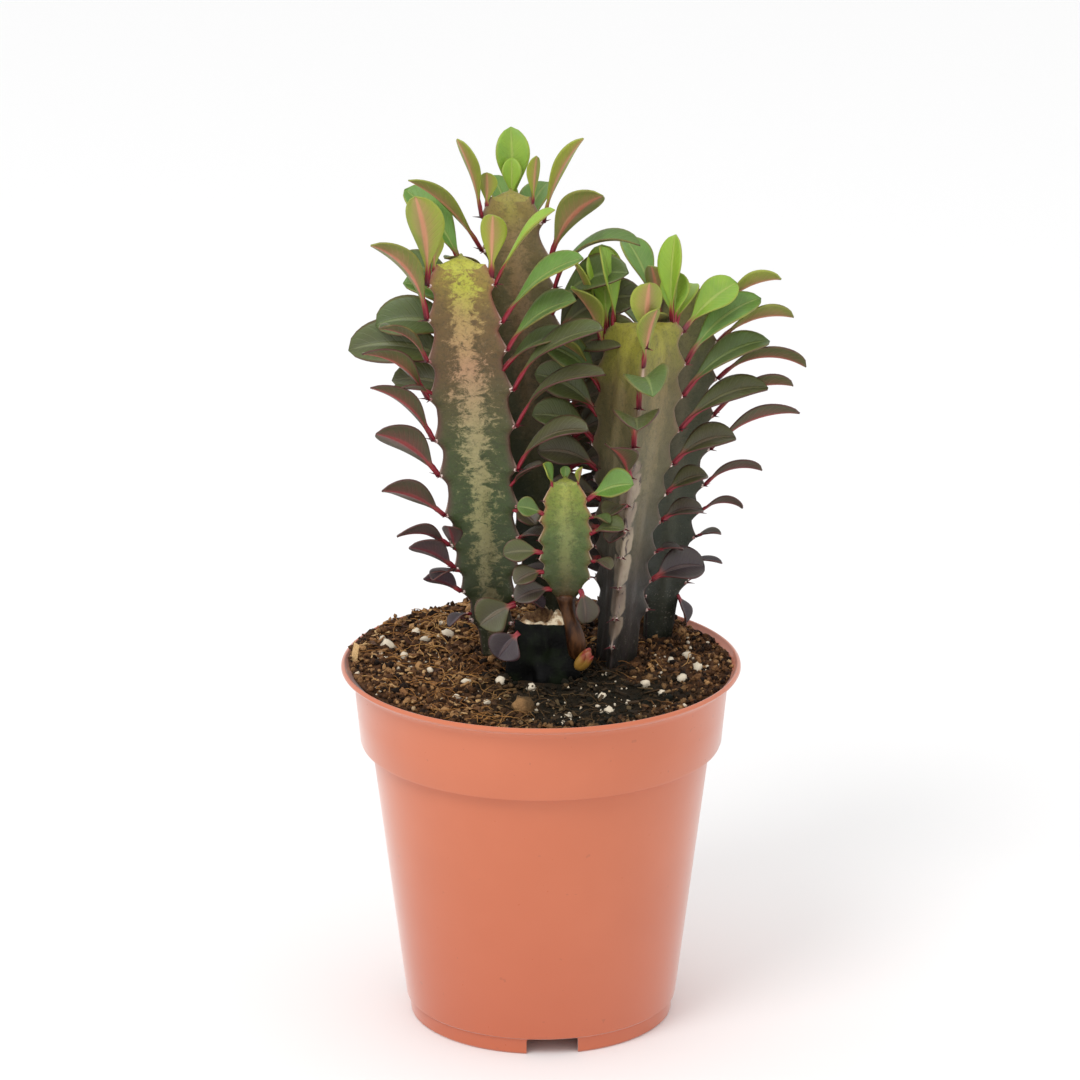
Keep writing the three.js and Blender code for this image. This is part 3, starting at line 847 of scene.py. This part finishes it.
bm = bmesh.new()
x, y, height, radius = STALK_PATH[0]
bmesh.ops.create_circle(bm, cap_ends=True, segments=20, radius=radius * MM,
                        matrix=Matrix.Translation(Vector((x, y, height)) * MM))
rim = bm.edges[:]
for x, y, height, radius in STALK_PATH[1:]:
    rim, ring, faces = extruded(bm, rim)
    centre = middle_of(ring)
    for vert in ring:
        vert.co = Vector((x, y, height)) * MM + (vert.co - centre).normalized() * radius * MM
bmesh.ops.contextual_create(bm, geom=rim)
bmesh.ops.recalc_face_normals(bm, faces=bm.faces)
stalk = stand_up("offshoot_stalk", bm,
                 [finish_of("young_bark", {"Specular IOR Level": 0.25}, young_bark_finish)])
rounding = stalk.modifiers.new("rounding", "SUBSURF")
rounding.levels = 1
rounding.render_levels = 1


# ---- Bud at the stump ----
# A dormant bud that swells at the stump's foot: a plump orange-yellow core wrapped in a few pointed
# scales with red tips.

BUD_FOOT = (10.6, -17.6, 114.6)
BUD_HEAD = (15.4, -20.2, 122)
BUD_WIDTH = 2.6
BUD_LENGTH = 8.2
BUD_SCALES = ((0, 0.95, 0), (40, 0.98, 12), (160, 0.86, 15), (280, 0.9, 12))  # bearing, size, splay


def bud_finish(start):
    up = written(start, "rise")
    blotch = mottle(start, object_place(start), 500, 3)
    colour = (up + blotch * 0.5 - 0.25).smooth(0.6, 1.0).paint(solid(150, 112, 48), solid(128, 40, 34))
    colour = (up + blotch * 0.3).smooth(0.45, 0.1).paint(colour, solid(96, 74, 40))
    return looks(start, colour, blotch * 0.2 + 0.4, blotch, 0.0003, 0.5)


bm = bmesh.new()
rise = bm.verts.layers.float.new("rise")
lean_of_bud = (Vector(BUD_HEAD) - Vector(BUD_FOOT)).to_track_quat("Z", "Y").to_matrix().to_4x4()
for bearing, size, splay in BUD_SCALES:
    tilt = Matrix.Rotation(radians(bearing), 4, "Z") @ Matrix.Rotation(radians(splay), 4, "Y")
    place = Matrix.Translation(Vector(BUD_FOOT) * MM) @ lean_of_bud @ tilt @ Matrix.Scale(size * MM, 4)
    ball = bmesh.ops.create_uvsphere(bm, u_segments=14, v_segments=12, radius=1)["verts"]
    for vert in ball:
        up = (vert.co.z + 1) / 2
        vert[rise] = up
        wide = BUD_WIDTH * (1 - 0.3 * up) * (1 if splay == 0 else 0.8)
        thin = wide * (1 - up ** 4 * 0.6)
        vert.co = place @ Vector((vert.co.x * thin, vert.co.y * wide, up * BUD_LENGTH))
bud = stand_up("bud", bm, [finish_of("bud_scale", {"Specular IOR Level": 0.5}, bud_finish)])
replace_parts(bud, "stump_bud")


# ---- Leaves ----
# Spoon-shaped leaves, each folded along its midrib and held by a short crimson stalk at the tip of a
# tooth. Young ones at the top are yellow-green, the oldest at the bottom dull purple.

LEAF_COLUMNS = 10
LEAF_ROWS = 22
LEAF_STANDOFF = 1.1
LEAF_ROOTING = 0.4  # how deep the stalk of a small leaf is set in the rib
STALK_SHARE = 0.12
STALK_WIDTH = 1.3
FULL_STALK_WIDTH = 8  # a narrower leaf than this has a thinner stalk in proportion
STALK_THICKNESS = 1.05
BLADE_THICKNESS_SHARE = 0.4
FOLD = 0.55
BLADE_WIDENING = 1.12

# By stem and rib, downwards: height of the stalk's foot, length, width, rise of the stalk, curl
# outwards to the tip, swing from the rib's bearing, roll. Each replaces one leaf of the CAD.
LEAVES = {
    "left_stem": (
        ((229, 28, 10.5, 93, 22, 0, 38), (218.5, 33, 9, 85, 62, 0, 25), (206, 21, 7.5, 68, 60, 0, 10),
         (194.5, 29, 8.5, 66, 56, 0, 22), (181.5, 29.5, 8, 66, 46, 0, 25),
         (170.5, 27, 10, 58, 40, 0, 45), (158, 24, 9, 45, 34, 0, 40), (148.5, 19, 7.5, 45, 55, 0, 30),
         (141, 18, 8, 48, 34, 0, 40), (133.5, 14, 7, 40, 28, 0, 40)),
        ((229.5, 32, 6.5, 66, 28, 2, 25), (218, 35, 8.5, 62, 42, 5, 35),
         (209.5, 28, 9.5, 64, 50, 12, 30), (197.5, 38, 9, 64, 54, 4, 30), (186, 36, 8.5, 68, 68, 8, 15),
         (172.5, 29, 9, 68, 70, 6, 25)),
        ((228, 31, 10, 72, 45, 62, -30), (216, 27, 9.5, 62, 60, 75, -20), (204, 31, 12, 50, 76, 84, -48)),
    ),
    "back_stem": (
        ((243.5, 26.5, 6, 82, 20, 0, 10), (233.5, 34, 7.5, 62, 32, -6, 20)),
        ((242, 31, 6, 80, 32, 0, -15), (231, 29, 10, 76, 50, 0, -40), (222, 34, 8.5, 80, 100, 16, 5)),
        ((241, 25.5, 9, 88, 18, 8, 0), (229, 26, 8.5, 66, 50, -30, 0), (217, 24, 9, 60, 60, 0, 0),
         (202, 22, 8.5, 52, 60, 0, 0), (186, 21, 8, 46, 60, 0, 0)),
    ),
    "middle_stem": (
        ((212, 21, 8.5, 88, 12, 14, 0), (194, 30, 11.5, 86, 122, 10, 12), (182, 26, 12, 86, 112, 4, 0),
         (172, 16, 9.5, 70, 40, -32, 0)),
        ((211, 23, 9, 50, 34, 0, 40), (201, 32, 8.5, 58, 52, 0, 30), (191, 34, 8.5, 52, 58, 0, 25),
         (180.5, 33, 8.5, 46, 60, 0, 25), (170, 23, 9, 45, 62, 0, 25), (152.5, 14.5, 7, 36, 60, 0, 20),
         (134, 18, 10.5, 32, 50, 0, 40)),
        ((209, 26, 6.5, 82, 25, 8, 25), (198, 20, 8.5, 64, 50, 50, 0)),
    ),
    "right_stem": (
        ((212, 23, 8.5, 56, 54, 0, -34), (203, 25, 8.5, 50, 62, 0, -34),
         (191.5, 29, 8.5, 48, 80, 0, -34), (169.5, 30, 8, 50, 54, 0, -34),
         (158, 19, 6.5, 50, 70, 0, -34), (149.5, 14, 5.5, 45, 80, 0, -30)),
        ((211, 25, 8.5, 70, 50, 0, 0), (198, 26, 8.5, 58, 60, 0, 0), (184, 24, 8, 50, 60, 0, 0)),
    ),
}
# The small and crowded leaves that the CAD leaves out, in the same terms.
SMALL_LEAVES = {
    "left_stem": (
        ((232, 13, 5, 98, 12, 60, 0), (196, 14, 6.5, 30, 30, 10, 10), (147, 10, 5.5, 70, 20, 40, 0),
         (140, 12, 6.5, 20, 40, 20, 10), (126, 9, 5, 10, 50, 10, 10)),
        ((231, 22, 7, 84, 22, -55, -20), (203, 24, 8, 55, 50, 24, 20), (166.8, 14, 5.5, 52, 30, 0, 10),
         (159.5, 9, 7, 0, 40, -10, 20), (150, 11, 6, 40, 50, 0, 10), (141, 11, 6, 20, 50, 0, 0),
         (132, 10, 6, 10, 50, 0, 0)),
        ((192, 27, 9.5, 60, 50, 0, 10), (180, 26, 9, 58, 55, 0, 0), (168, 24, 9, 52, 50, 0, 0),
         (156, 20, 8, 45, 50, 0, 0), (145, 17, 7.5, 38, 50, 0, 0), (135, 14, 7, 30, 50, 0, 0),
         (212, 24, 10, 64, 60, 88, -30), (195, 40, 13, 44, 66, 84, -52),
         (187, 27, 9.5, 44, 60, 80, -40)),
    ),
    "back_stem": (
        ((246, 11, 5, 96, 10, 40, 0), (221, 22, 7.5, 60, 45, 10, 10), (209, 20, 8, 55, 50, 0, 10),
         (197, 17, 7, 50, 50, 0, 0)),
        ((246.5, 16, 4, 86, 6, -25, 0), (214, 32, 10.5, 62, 60, 0, 50), (206, 32, 11, 60, 64, 22, 60),
         (198, 32, 11, 58, 64, -6, 52), (190, 31, 11, 56, 66, 24, 62), (182, 30, 10.5, 52, 64, 4, 54),
         (174, 29, 10, 46, 62, 26, 58), (166, 26, 9.5, 40, 60, 0, 50), (157, 22, 9, 28, 60, 24, 50),
         (148, 18, 8, 12, 60, 0, 40), (139, 14, 7, 0, 50, 20, 40), (202, 30, 10, 74, 40, 46, 50),
         (186, 30, 10, 70, 44, 50, 50), (170, 27, 9.5, 60, 50, 48, 50), (154, 22, 9, 46, 50, 50, 40)),
        ((245, 13, 5, 82, 10, 0, 0), (231, 24, 8, 70, 40, 30, 0), (173, 20, 8, 45, 55, 0, 0),
         (161, 18, 7.5, 40, 50, 0, 0), (149, 15, 7, 35, 50, 0, 0), (137, 13, 6.5, 25, 50, 0, 0)),
    ),
    "middle_stem": (
        ((214.5, 14, 5, 95, 12, -30, 0), (206, 20, 7, 84, 20, 42, 0), (162.8, 11, 7, 22, 50, -30, 0),
         (154, 8, 6, 10, 40, -30, 0), (214, 12, 4.5, 84, 14, 70, 0)),
        ((214.5, 27, 7.5, 96, 16, 0, 20), (213.5, 16, 8, 84, 20, 40, 0), (213, 17, 7, 62, 50, 34, 0),
         (161, 15, 7, 40, 50, 0, 20), (143, 9, 5, 20, 50, 0, 0)),
        ((213, 25, 8.5, 90, 22, 0, 0), (211, 27, 9.5, 80, 30, -55, 0), (205, 25, 9.5, 78, 34, 60, 0),
         (193, 24, 10, 66, 50, 40, -50), (185, 24, 10, 62, 56, 30, -55), (177, 22, 9.5, 56, 60, 44, -50),
         (168, 20, 9, 48, 60, 34, -50), (159, 17, 8.5, 40, 60, 44, -45), (150, 15, 8, 20, 60, 40, -40),
         (141, 12, 6.5, 0, 50, 40, -30)),
    ),
    "right_stem": (
        ((180, 27, 8.5, 52, 66, 8, -30), (141.5, 8, 4.5, 26, 40, 0, 0), (134, 10, 4, 6, 24, 0, 0),
         (123, 9.5, 6, -60, 26, -20, 0)),
        ((172, 22, 8, 48, 55, 0, 0), (161, 19, 7.5, 42, 50, 0, 0), (150, 16, 7, 36, 50, 0, 0),
         (140, 13, 6.5, 30, 50, 0, 0), (190, 27, 10.5, 52, 50, 62, -50), (180, 27, 11, 44, 50, 56, -55),
         (170, 27, 11, 40, 50, 66, -50), (160, 26, 11, 34, 50, 58, -55), (150, 25, 10, 28, 50, 66, -50),
         (140, 22, 9, 20, 50, 58, -50)),
        ((213, 18, 7, 84, 20, 0, 0), (201, 22, 8, 74, 40, 30, 0), (160, 12, 6, 20, 50, 0, 0)),
    ),
    "offshoot": (
        ((171, 8, 4.5, 80, 22, -10, -40), (163, 8.5, 5.4, 34, 30, -20, -58),
         (151, 12, 6.2, 14, 26, -22, -58), (145, 10, 6.5, 8, 40, 0, -30), (139, 12, 7, 10, 40, -8, -40)),
        ((171.5, 6, 3, 84, 16, 0, 0), (167.5, 16, 8.6, 42, 36, 8, 44), (157, 11.5, 7.5, 38, 44, 0, 20),
         (148.5, 7, 5.5, 12, 50, 0, 0), (139, 10.5, 7, -58, 40, -20, 10), (162, 7, 4.5, 20, 50, 0, 0)),
        ((170, 5, 2.6, 72, 20, 0, 0), (160, 12, 7, 44, 40, 0, 0), (150, 11, 6.5, 30, 44, 0, 0)),
    ),
}


def half_width(width, share, age):
    """Half the leaf's width: a narrow stalk, widest well past the middle, and a blunt pointed end."""
    stalk = STALK_WIDTH / 2 * min(1, width / FULL_STALK_WIDTH)
    if share <= STALK_SHARE:
        return stalk
    along = (share - STALK_SHARE) / (1 - STALK_SHARE)
    bulge = along ** (1.65 - 0.5 * age)
    blade = width * BLADE_WIDENING / 2 * sin(pi * bulge) ** (0.9 if bulge < 0.5 else 0.6)
    return max(blade, stalk * (1 - along)) + 0.1


def grow_leaf(bm, foot, bearing, row, age, seed):
    """Shapes a sheet into one leaf. Its stalk's foot is at foot, and it leans out along bearing."""
    height, length, width, rise, curl, swing, roll = row
    outward = compass(bearing)
    sideways = Vector((-outward.y, outward.x, 0))
    start, bend = radians(rise), radians(curl)
    stout = min(1, width / FULL_STALK_WIDTH)
    lean, level = sin(radians(roll)), cos(radians(roll))
    layers = bm.verts.layers
    sheet = bmesh.ops.create_grid(bm, x_segments=LEAF_COLUMNS, y_segments=LEAF_ROWS, size=0.5,
                                  calc_uvs=True)["verts"]
    for vert in sheet:
        side, share = vert.co.x * 2, vert.co.y + 0.5
        slope = start - bend * share
        out = length / bend * (sin(start) - sin(slope))
        up = length / bend * (cos(slope) - cos(start))
        flat = -side * half_width(width, share, age)
        ripple = 0.25 * side * side * sin(9 * share + seed * tau) * stout
        raised = FOLD * ((flat * flat + 0.16) ** 0.5 - 0.4) * (1 - 0.2 * side * side) + ripple
        across = flat * level - raised * lean
        lift = flat * lean + raised * level
        place = Vector(foot) + sideways * across + outward * (out - sin(slope) * lift)
        place.z += up + cos(slope) * lift
        vert.co = place * MM
        vert[layers.float["age"]] = age
        vert[layers.float["seed"]] = seed
        stalk = min(1, max(0, 1 - (share - STALK_SHARE) * 7))
        vert[layers.deform.active][0] = stalk * stout


def leaf_finish(blade, flush, midrib, flushed, ribbed, rib_width, roughness):
    """One side of a leaf. Stops run from age 0, just out, to 1, the oldest."""

    def varied(start):
        sheet = start.node("ShaderNodeUVMap")
        along = coordinate(start, sheet, 1)
        off_rib = start.math("ABSOLUTE", coordinate(start, sheet, 0) - 0.5) * 2
        place = object_place(start)
        cloud = mottle(start, place, 150, 3)
        grain = mottle(start, place, 1700, 2)
        years = written(start, "age") + written(start, "seed") * 0.12 - 0.06 + cloud * 0.16 - 0.08
        by_rib = (off_rib + cloud * 0.8 - 0.4).smooth(0.75, 0.1)
        colour = (by_rib * flushed).paint(ramp(start, blade, years), ramp(start, flush, years))
        rib_line = (off_rib - along.smooth(0.9, 0.2) * 0.08).smooth(rib_width, 0.02)
        rib_colour = ramp(start, midrib, years)
        colour = (rib_line * ribbed).paint(colour, rib_colour)
        stalk = (along + cloud * 0.08 + off_rib * 0.06).smooth(0.36, 0.17)
        colour = stalk.paint(colour, ramp(start, STALK, along * 3 + years * 0.3))
        vein = start.math("SINE", along * 95 - off_rib * 17).smooth(0.7, 1.0) * along.smooth(0.2, 0.4)
        colour = (vein * 0.09).paint(colour, rib_colour)
        edge = off_rib.smooth(0.84, 0.99) * along.smooth(0.2, 0.4)
        colour = (edge * 0.6).paint(colour, ramp(start, EDGE, years))
        return looks(start, colour, grain * 0.12 + cloud * 0.14 + roughness,
                     grain * 0.5 + rib_line * 2 - vein * 0.7, 0.00018, 0.5)

    return varied


def margin_finish(start):
    cloud = mottle(start, object_place(start), 300, 3)
    years = (written(start, "age") + cloud * 0.3 - 0.15).smooth(0.05, 0.4)
    colour = years.paint(solid(148, 156, 62), solid(84, 48, 42))
    along = coordinate(start, start.node("ShaderNodeUVMap"), 1)
    colour = (along + cloud * 0.08).smooth(0.42, 0.22).paint(colour, solid(134, 30, 46))
    return {"Base Color": colour, "Roughness": cloud * 0.1 + 0.4}


UPPER = ((0, 142, 176, 58), (0.12, 102, 143, 60), (0.26, 82, 102, 50), (0.46, 83, 88, 48),
         (0.7, 81, 74, 52), (0.86, 72, 66, 60), (1, 64, 53, 57))
UPPER_FLUSH = ((0, 150, 176, 66), (0.12, 116, 150, 70), (0.26, 88, 106, 62), (0.46, 84, 82, 62),
               (0.7, 76, 64, 60), (0.86, 66, 54, 60), (1, 54, 42, 50))
UPPER_RIB = ((0, 186, 196, 104), (0.3, 136, 152, 92), (0.6, 124, 104, 86), (1, 88, 66, 68))
UNDER = ((0, 150, 158, 56), (0.12, 128, 134, 58), (0.26, 96, 98, 50), (0.46, 80, 80, 48),
         (0.7, 78, 70, 52), (0.86, 78, 66, 62), (1, 70, 58, 64))
UNDER_FLUSH = ((0, 166, 138, 84), (0.12, 152, 118, 80), (0.26, 122, 94, 62), (0.46, 112, 76, 58),
               (0.7, 102, 62, 56), (0.86, 88, 58, 60), (1, 76, 54, 62))
UNDER_RIB = ((0, 212, 146, 116), (0.2, 204, 120, 100), (0.5, 172, 70, 72), (1, 96, 46, 54))
STALK = ((0, 72, 14, 26), (0.35, 124, 28, 42), (0.8, 166, 62, 62), (1, 170, 84, 72))
EDGE = ((0, 166, 182, 66), (0.2, 134, 128, 60), (0.4, 96, 58, 44), (1, 70, 38, 42))
LEAF_SHEEN = {"Specular IOR Level": 0.5, "Subsurface Weight": 0.1,
              "Subsurface Radius": (0.0008, 0.0015, 0.0004)}
upper_side = leaf_finish(UPPER, UPPER_FLUSH, UPPER_RIB, 0.55, 0.45, 0.1, 0.32)
under_side = leaf_finish(UNDER, UNDER_FLUSH, UNDER_RIB, 0.75, 0.75, 0.2, 0.42)
leaf_materials = [finish_of("leaf_upper", LEAF_SHEEN, upper_side),
                  finish_of("leaf_under", LEAF_SHEEN, under_side),
                  finish_of("leaf_margin", {}, margin_finish)]


def leaf_sheets():
    """An empty bmesh with all that a leaf writes on its vertices."""
    bm = bmesh.new()
    bm.loops.layers.uv.new("UVMap")
    bm.verts.layers.float.new("age")
    bm.verts.layers.float.new("seed")
    bm.verts.layers.deform.verify()
    return bm


def stand_leaves(name, bm):
    """Gives the leaves their thickness, the stalk more than the blade, and fixes them to the stem."""
    piece = stand_up(name, bm, leaf_materials)
    piece.vertex_groups.new(name="stalk")
    body = piece.modifiers.new("thickness", "SOLIDIFY")
    body.thickness = STALK_THICKNESS * MM
    body.offset = 0
    body.vertex_group = "stalk"
    body.thickness_vertex_group = BLADE_THICKNESS_SHARE
    body.material_offset = 1
    body.material_offset_rim = 2
    return piece


def crest_reach(stem, rib, share, height):
    """How far a rib's crest stands from the stem's axis, between teeth as well as on them."""
    radius = rib_radius(stem, share)
    stout = min(1, radius / FULL_TOOTH_RADIUS)
    return face_radius(0, radius) + TOOTH * stout * (tooth_height(stem, rib, height) - TOOTH_SINK)


def leaf_place(stem, rib, row, on_crest=False):
    """Where a leaf's stalk starts, its bearing, its share of the stem's height and its age."""
    share = (row[0] - stem["foot"][2]) / (stem["head"][2] - stem["foot"][2])
    rib_bearing = stem["bearing"] + stem["twist"] * share + 120 * rib
    reach = rib_radius(stem, share) + LEAF_STANDOFF
    if on_crest:
        reach = min(reach, crest_reach(stem, rib, share, row[0]) - LEAF_ROOTING)
    foot = axis_point(stem, share) + compass(rib_bearing) * reach
    age = min(max((0.99 - share) / 0.8, 0), 1) ** 0.85
    return foot, rib_bearing + row[5], share, age


# Two leaves in front of the left stem's foot: where the stalk starts, bearing, row, age.
FOOT_LEAVES = (
    ((-7.5, -8.5, 132), 190, (0, 12.5, 10.5, -16, 26, 0, -64), 0.62),
    ((-6.5, -15, 125.2), 200, (0, 10, 9.5, -36, 22, 0, -60), 0.95),
)

random = Random(11)
for name, ribs in LEAVES.items():
    for rib, rows in enumerate(ribs):
        for n, row in enumerate(rows):
            foot, bearing, share, age = leaf_place(STEMS[name], rib, row)
            bm = leaf_sheets()
            grow_leaf(bm, foot, bearing, row, age, random.random())
            slot = "young_leaf" if share > 0.88 else "old_leaf" if share < 0.42 else "leaf"
            leaf = f"{name.replace('stem', 'leaf')}_{'abc'[rib]}{n + 1}"
            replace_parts(stand_leaves(leaf + "_blade", bm), leaf)

for name, ribs in SMALL_LEAVES.items():
    bm = leaf_sheets()
    for rib, rows in enumerate(ribs):
        for row in rows:
            foot, bearing, share, age = leaf_place(STEMS[name], rib, row, on_crest=True)
            if name == "offshoot":
                age = 0.12 + (1 - share) * 0.8
            grow_leaf(bm, foot, bearing, row, age, random.random())
    if name == "left_stem":
        for foot, bearing, row, age in FOOT_LEAVES:
            grow_leaf(bm, foot, bearing, row, age, random.random())
    stand_leaves(name.replace("stem", "small") + "_leaves", bm)


# ---- Spines ----
# A pair of short stiff crimson spines at each tooth, on a small pale woolly cushion.

SPINE_LENGTH = 3.3
SPINE_RADIUS = 0.42
SPINE_TIP_RADIUS = 0.03
SPINE_FAN = 38  # degrees either side of the rib's bearing
CUSHION_RADIUS = 0.95
CUSHION_DEPTH = 0.9  # how far inside a leaf's foot it lies
WOOL = 1  # the second finish, after the spines' own


def spine_finish(start):
    cloud = mottle(start, object_place(start), 500, 2)
    colour = cloud.smooth(0.4, 0.6).paint(solid(64, 22, 28), solid(112, 36, 44))
    return {"Base Color": colour, "Roughness": cloud * 0.1 + 0.35}


def wool_finish(start):
    cloud = mottle(start, object_place(start), 900, 2)
    colour = cloud.smooth(0.4, 0.6).paint(solid(150, 96, 92), solid(226, 208, 198))
    return {"Base Color": colour, "Roughness": cloud * 0.1 + 0.7}


spine = finish_of("spine", {"Specular IOR Level": 0.5}, spine_finish)
wool_cushion = finish_of("wool_cushion", {}, wool_finish)
for name, stem in STEMS.items():
    bm = bmesh.new()
    size = 0.6 if name == "offshoot" else 1
    for rib in range(3):
        for height in stem["teeth"][rib]:
            foot, bearing, share, age = leaf_place(stem, rib, (height, 0, 0, 0, 0, 0, 0))
            foot = foot - compass(bearing) * CUSHION_DEPTH
            cushion = Matrix.Translation(foot * MM) @ Matrix.Scale(MM * CUSHION_RADIUS * size, 4)
            wool = bmesh.ops.create_icosphere(bm, subdivisions=1, radius=1, matrix=cushion)["verts"]
            for face in {face for vert in wool for face in vert.link_faces}:
                face.material_index = WOOL
            for fan in (-SPINE_FAN, SPINE_FAN):
                way = compass(bearing + fan)
                way.z = random.uniform(-0.15, 0.3)
                reach = SPINE_LENGTH * size * random.uniform(0.75, 1.15)
                turn = way.to_track_quat("Z", "Y").to_matrix().to_4x4()
                place = Matrix.Translation((foot + way.normalized() * reach / 2) * MM)
                bmesh.ops.create_cone(bm, cap_ends=True, segments=6, radius1=SPINE_RADIUS * size * MM,
                                      radius2=SPINE_TIP_RADIUS * MM, depth=reach * MM,
                                      matrix=place @ turn)
    stand_up(name.replace("_stem", "") + "_spines", bm, [spine, wool_cushion])


# ---- Floor, light and camera ----
# A flat white floor, white light from all round with one soft lamp at the upper left, and a long lens
# almost 1.7 metres in front, looking down on the pot.

FLOOR_REACH = 6
FLOOR_WHITE = {"Base Color": (0.92, 0.92, 0.92, 1), "Roughness": 0.9}
CAMERA_PLACE = (-0.0003, -1.68495, 0.70256)  # in metres, from the middle of the pot's foot
CAMERA_PITCH = 18.18
FOCAL_LENGTH = 198.3

bm = bmesh.new()
bmesh.ops.create_grid(bm, x_segments=1, y_segments=1, size=FLOOR_REACH)
floor_mesh = mesh_of("floor", bm)
floor_mesh.materials.append(finish_of("floor_white", FLOOR_WHITE, lambda start: {}))
floor = linked("floor", floor_mesh)

world = bpy.data.worlds.new("soft studio")
world.use_nodes = True
sky = next(node for node in world.node_tree.nodes if node.type == "BACKGROUND")
sky.inputs["Color"].default_value = (1, 1, 1, 1)
sky.inputs["Strength"].default_value = 1.0
bpy.context.scene.world = world

lamp = bpy.data.lights.new("key", "AREA")
lamp.shape = "DISK"
lamp.size = 0.7
lamp.energy = 9
key = linked("key", lamp)
key.location = (-0.6, -0.9, 1.4)
key.rotation_euler = (Vector((0, 0, 0.15)) - key.location).to_track_quat("-Z", "Y").to_euler()

lens = bpy.data.cameras.new("camera")
lens.sensor_width = 36
lens.lens = FOCAL_LENGTH
camera = linked("camera", lens)
camera.location = POT_AXIS + Vector(CAMERA_PLACE)
camera.rotation_euler = (radians(90 - CAMERA_PITCH), 0, 0)
bpy.context.scene.camera = camera
bpy.context.scene.view_settings.view_transform = "Standard"
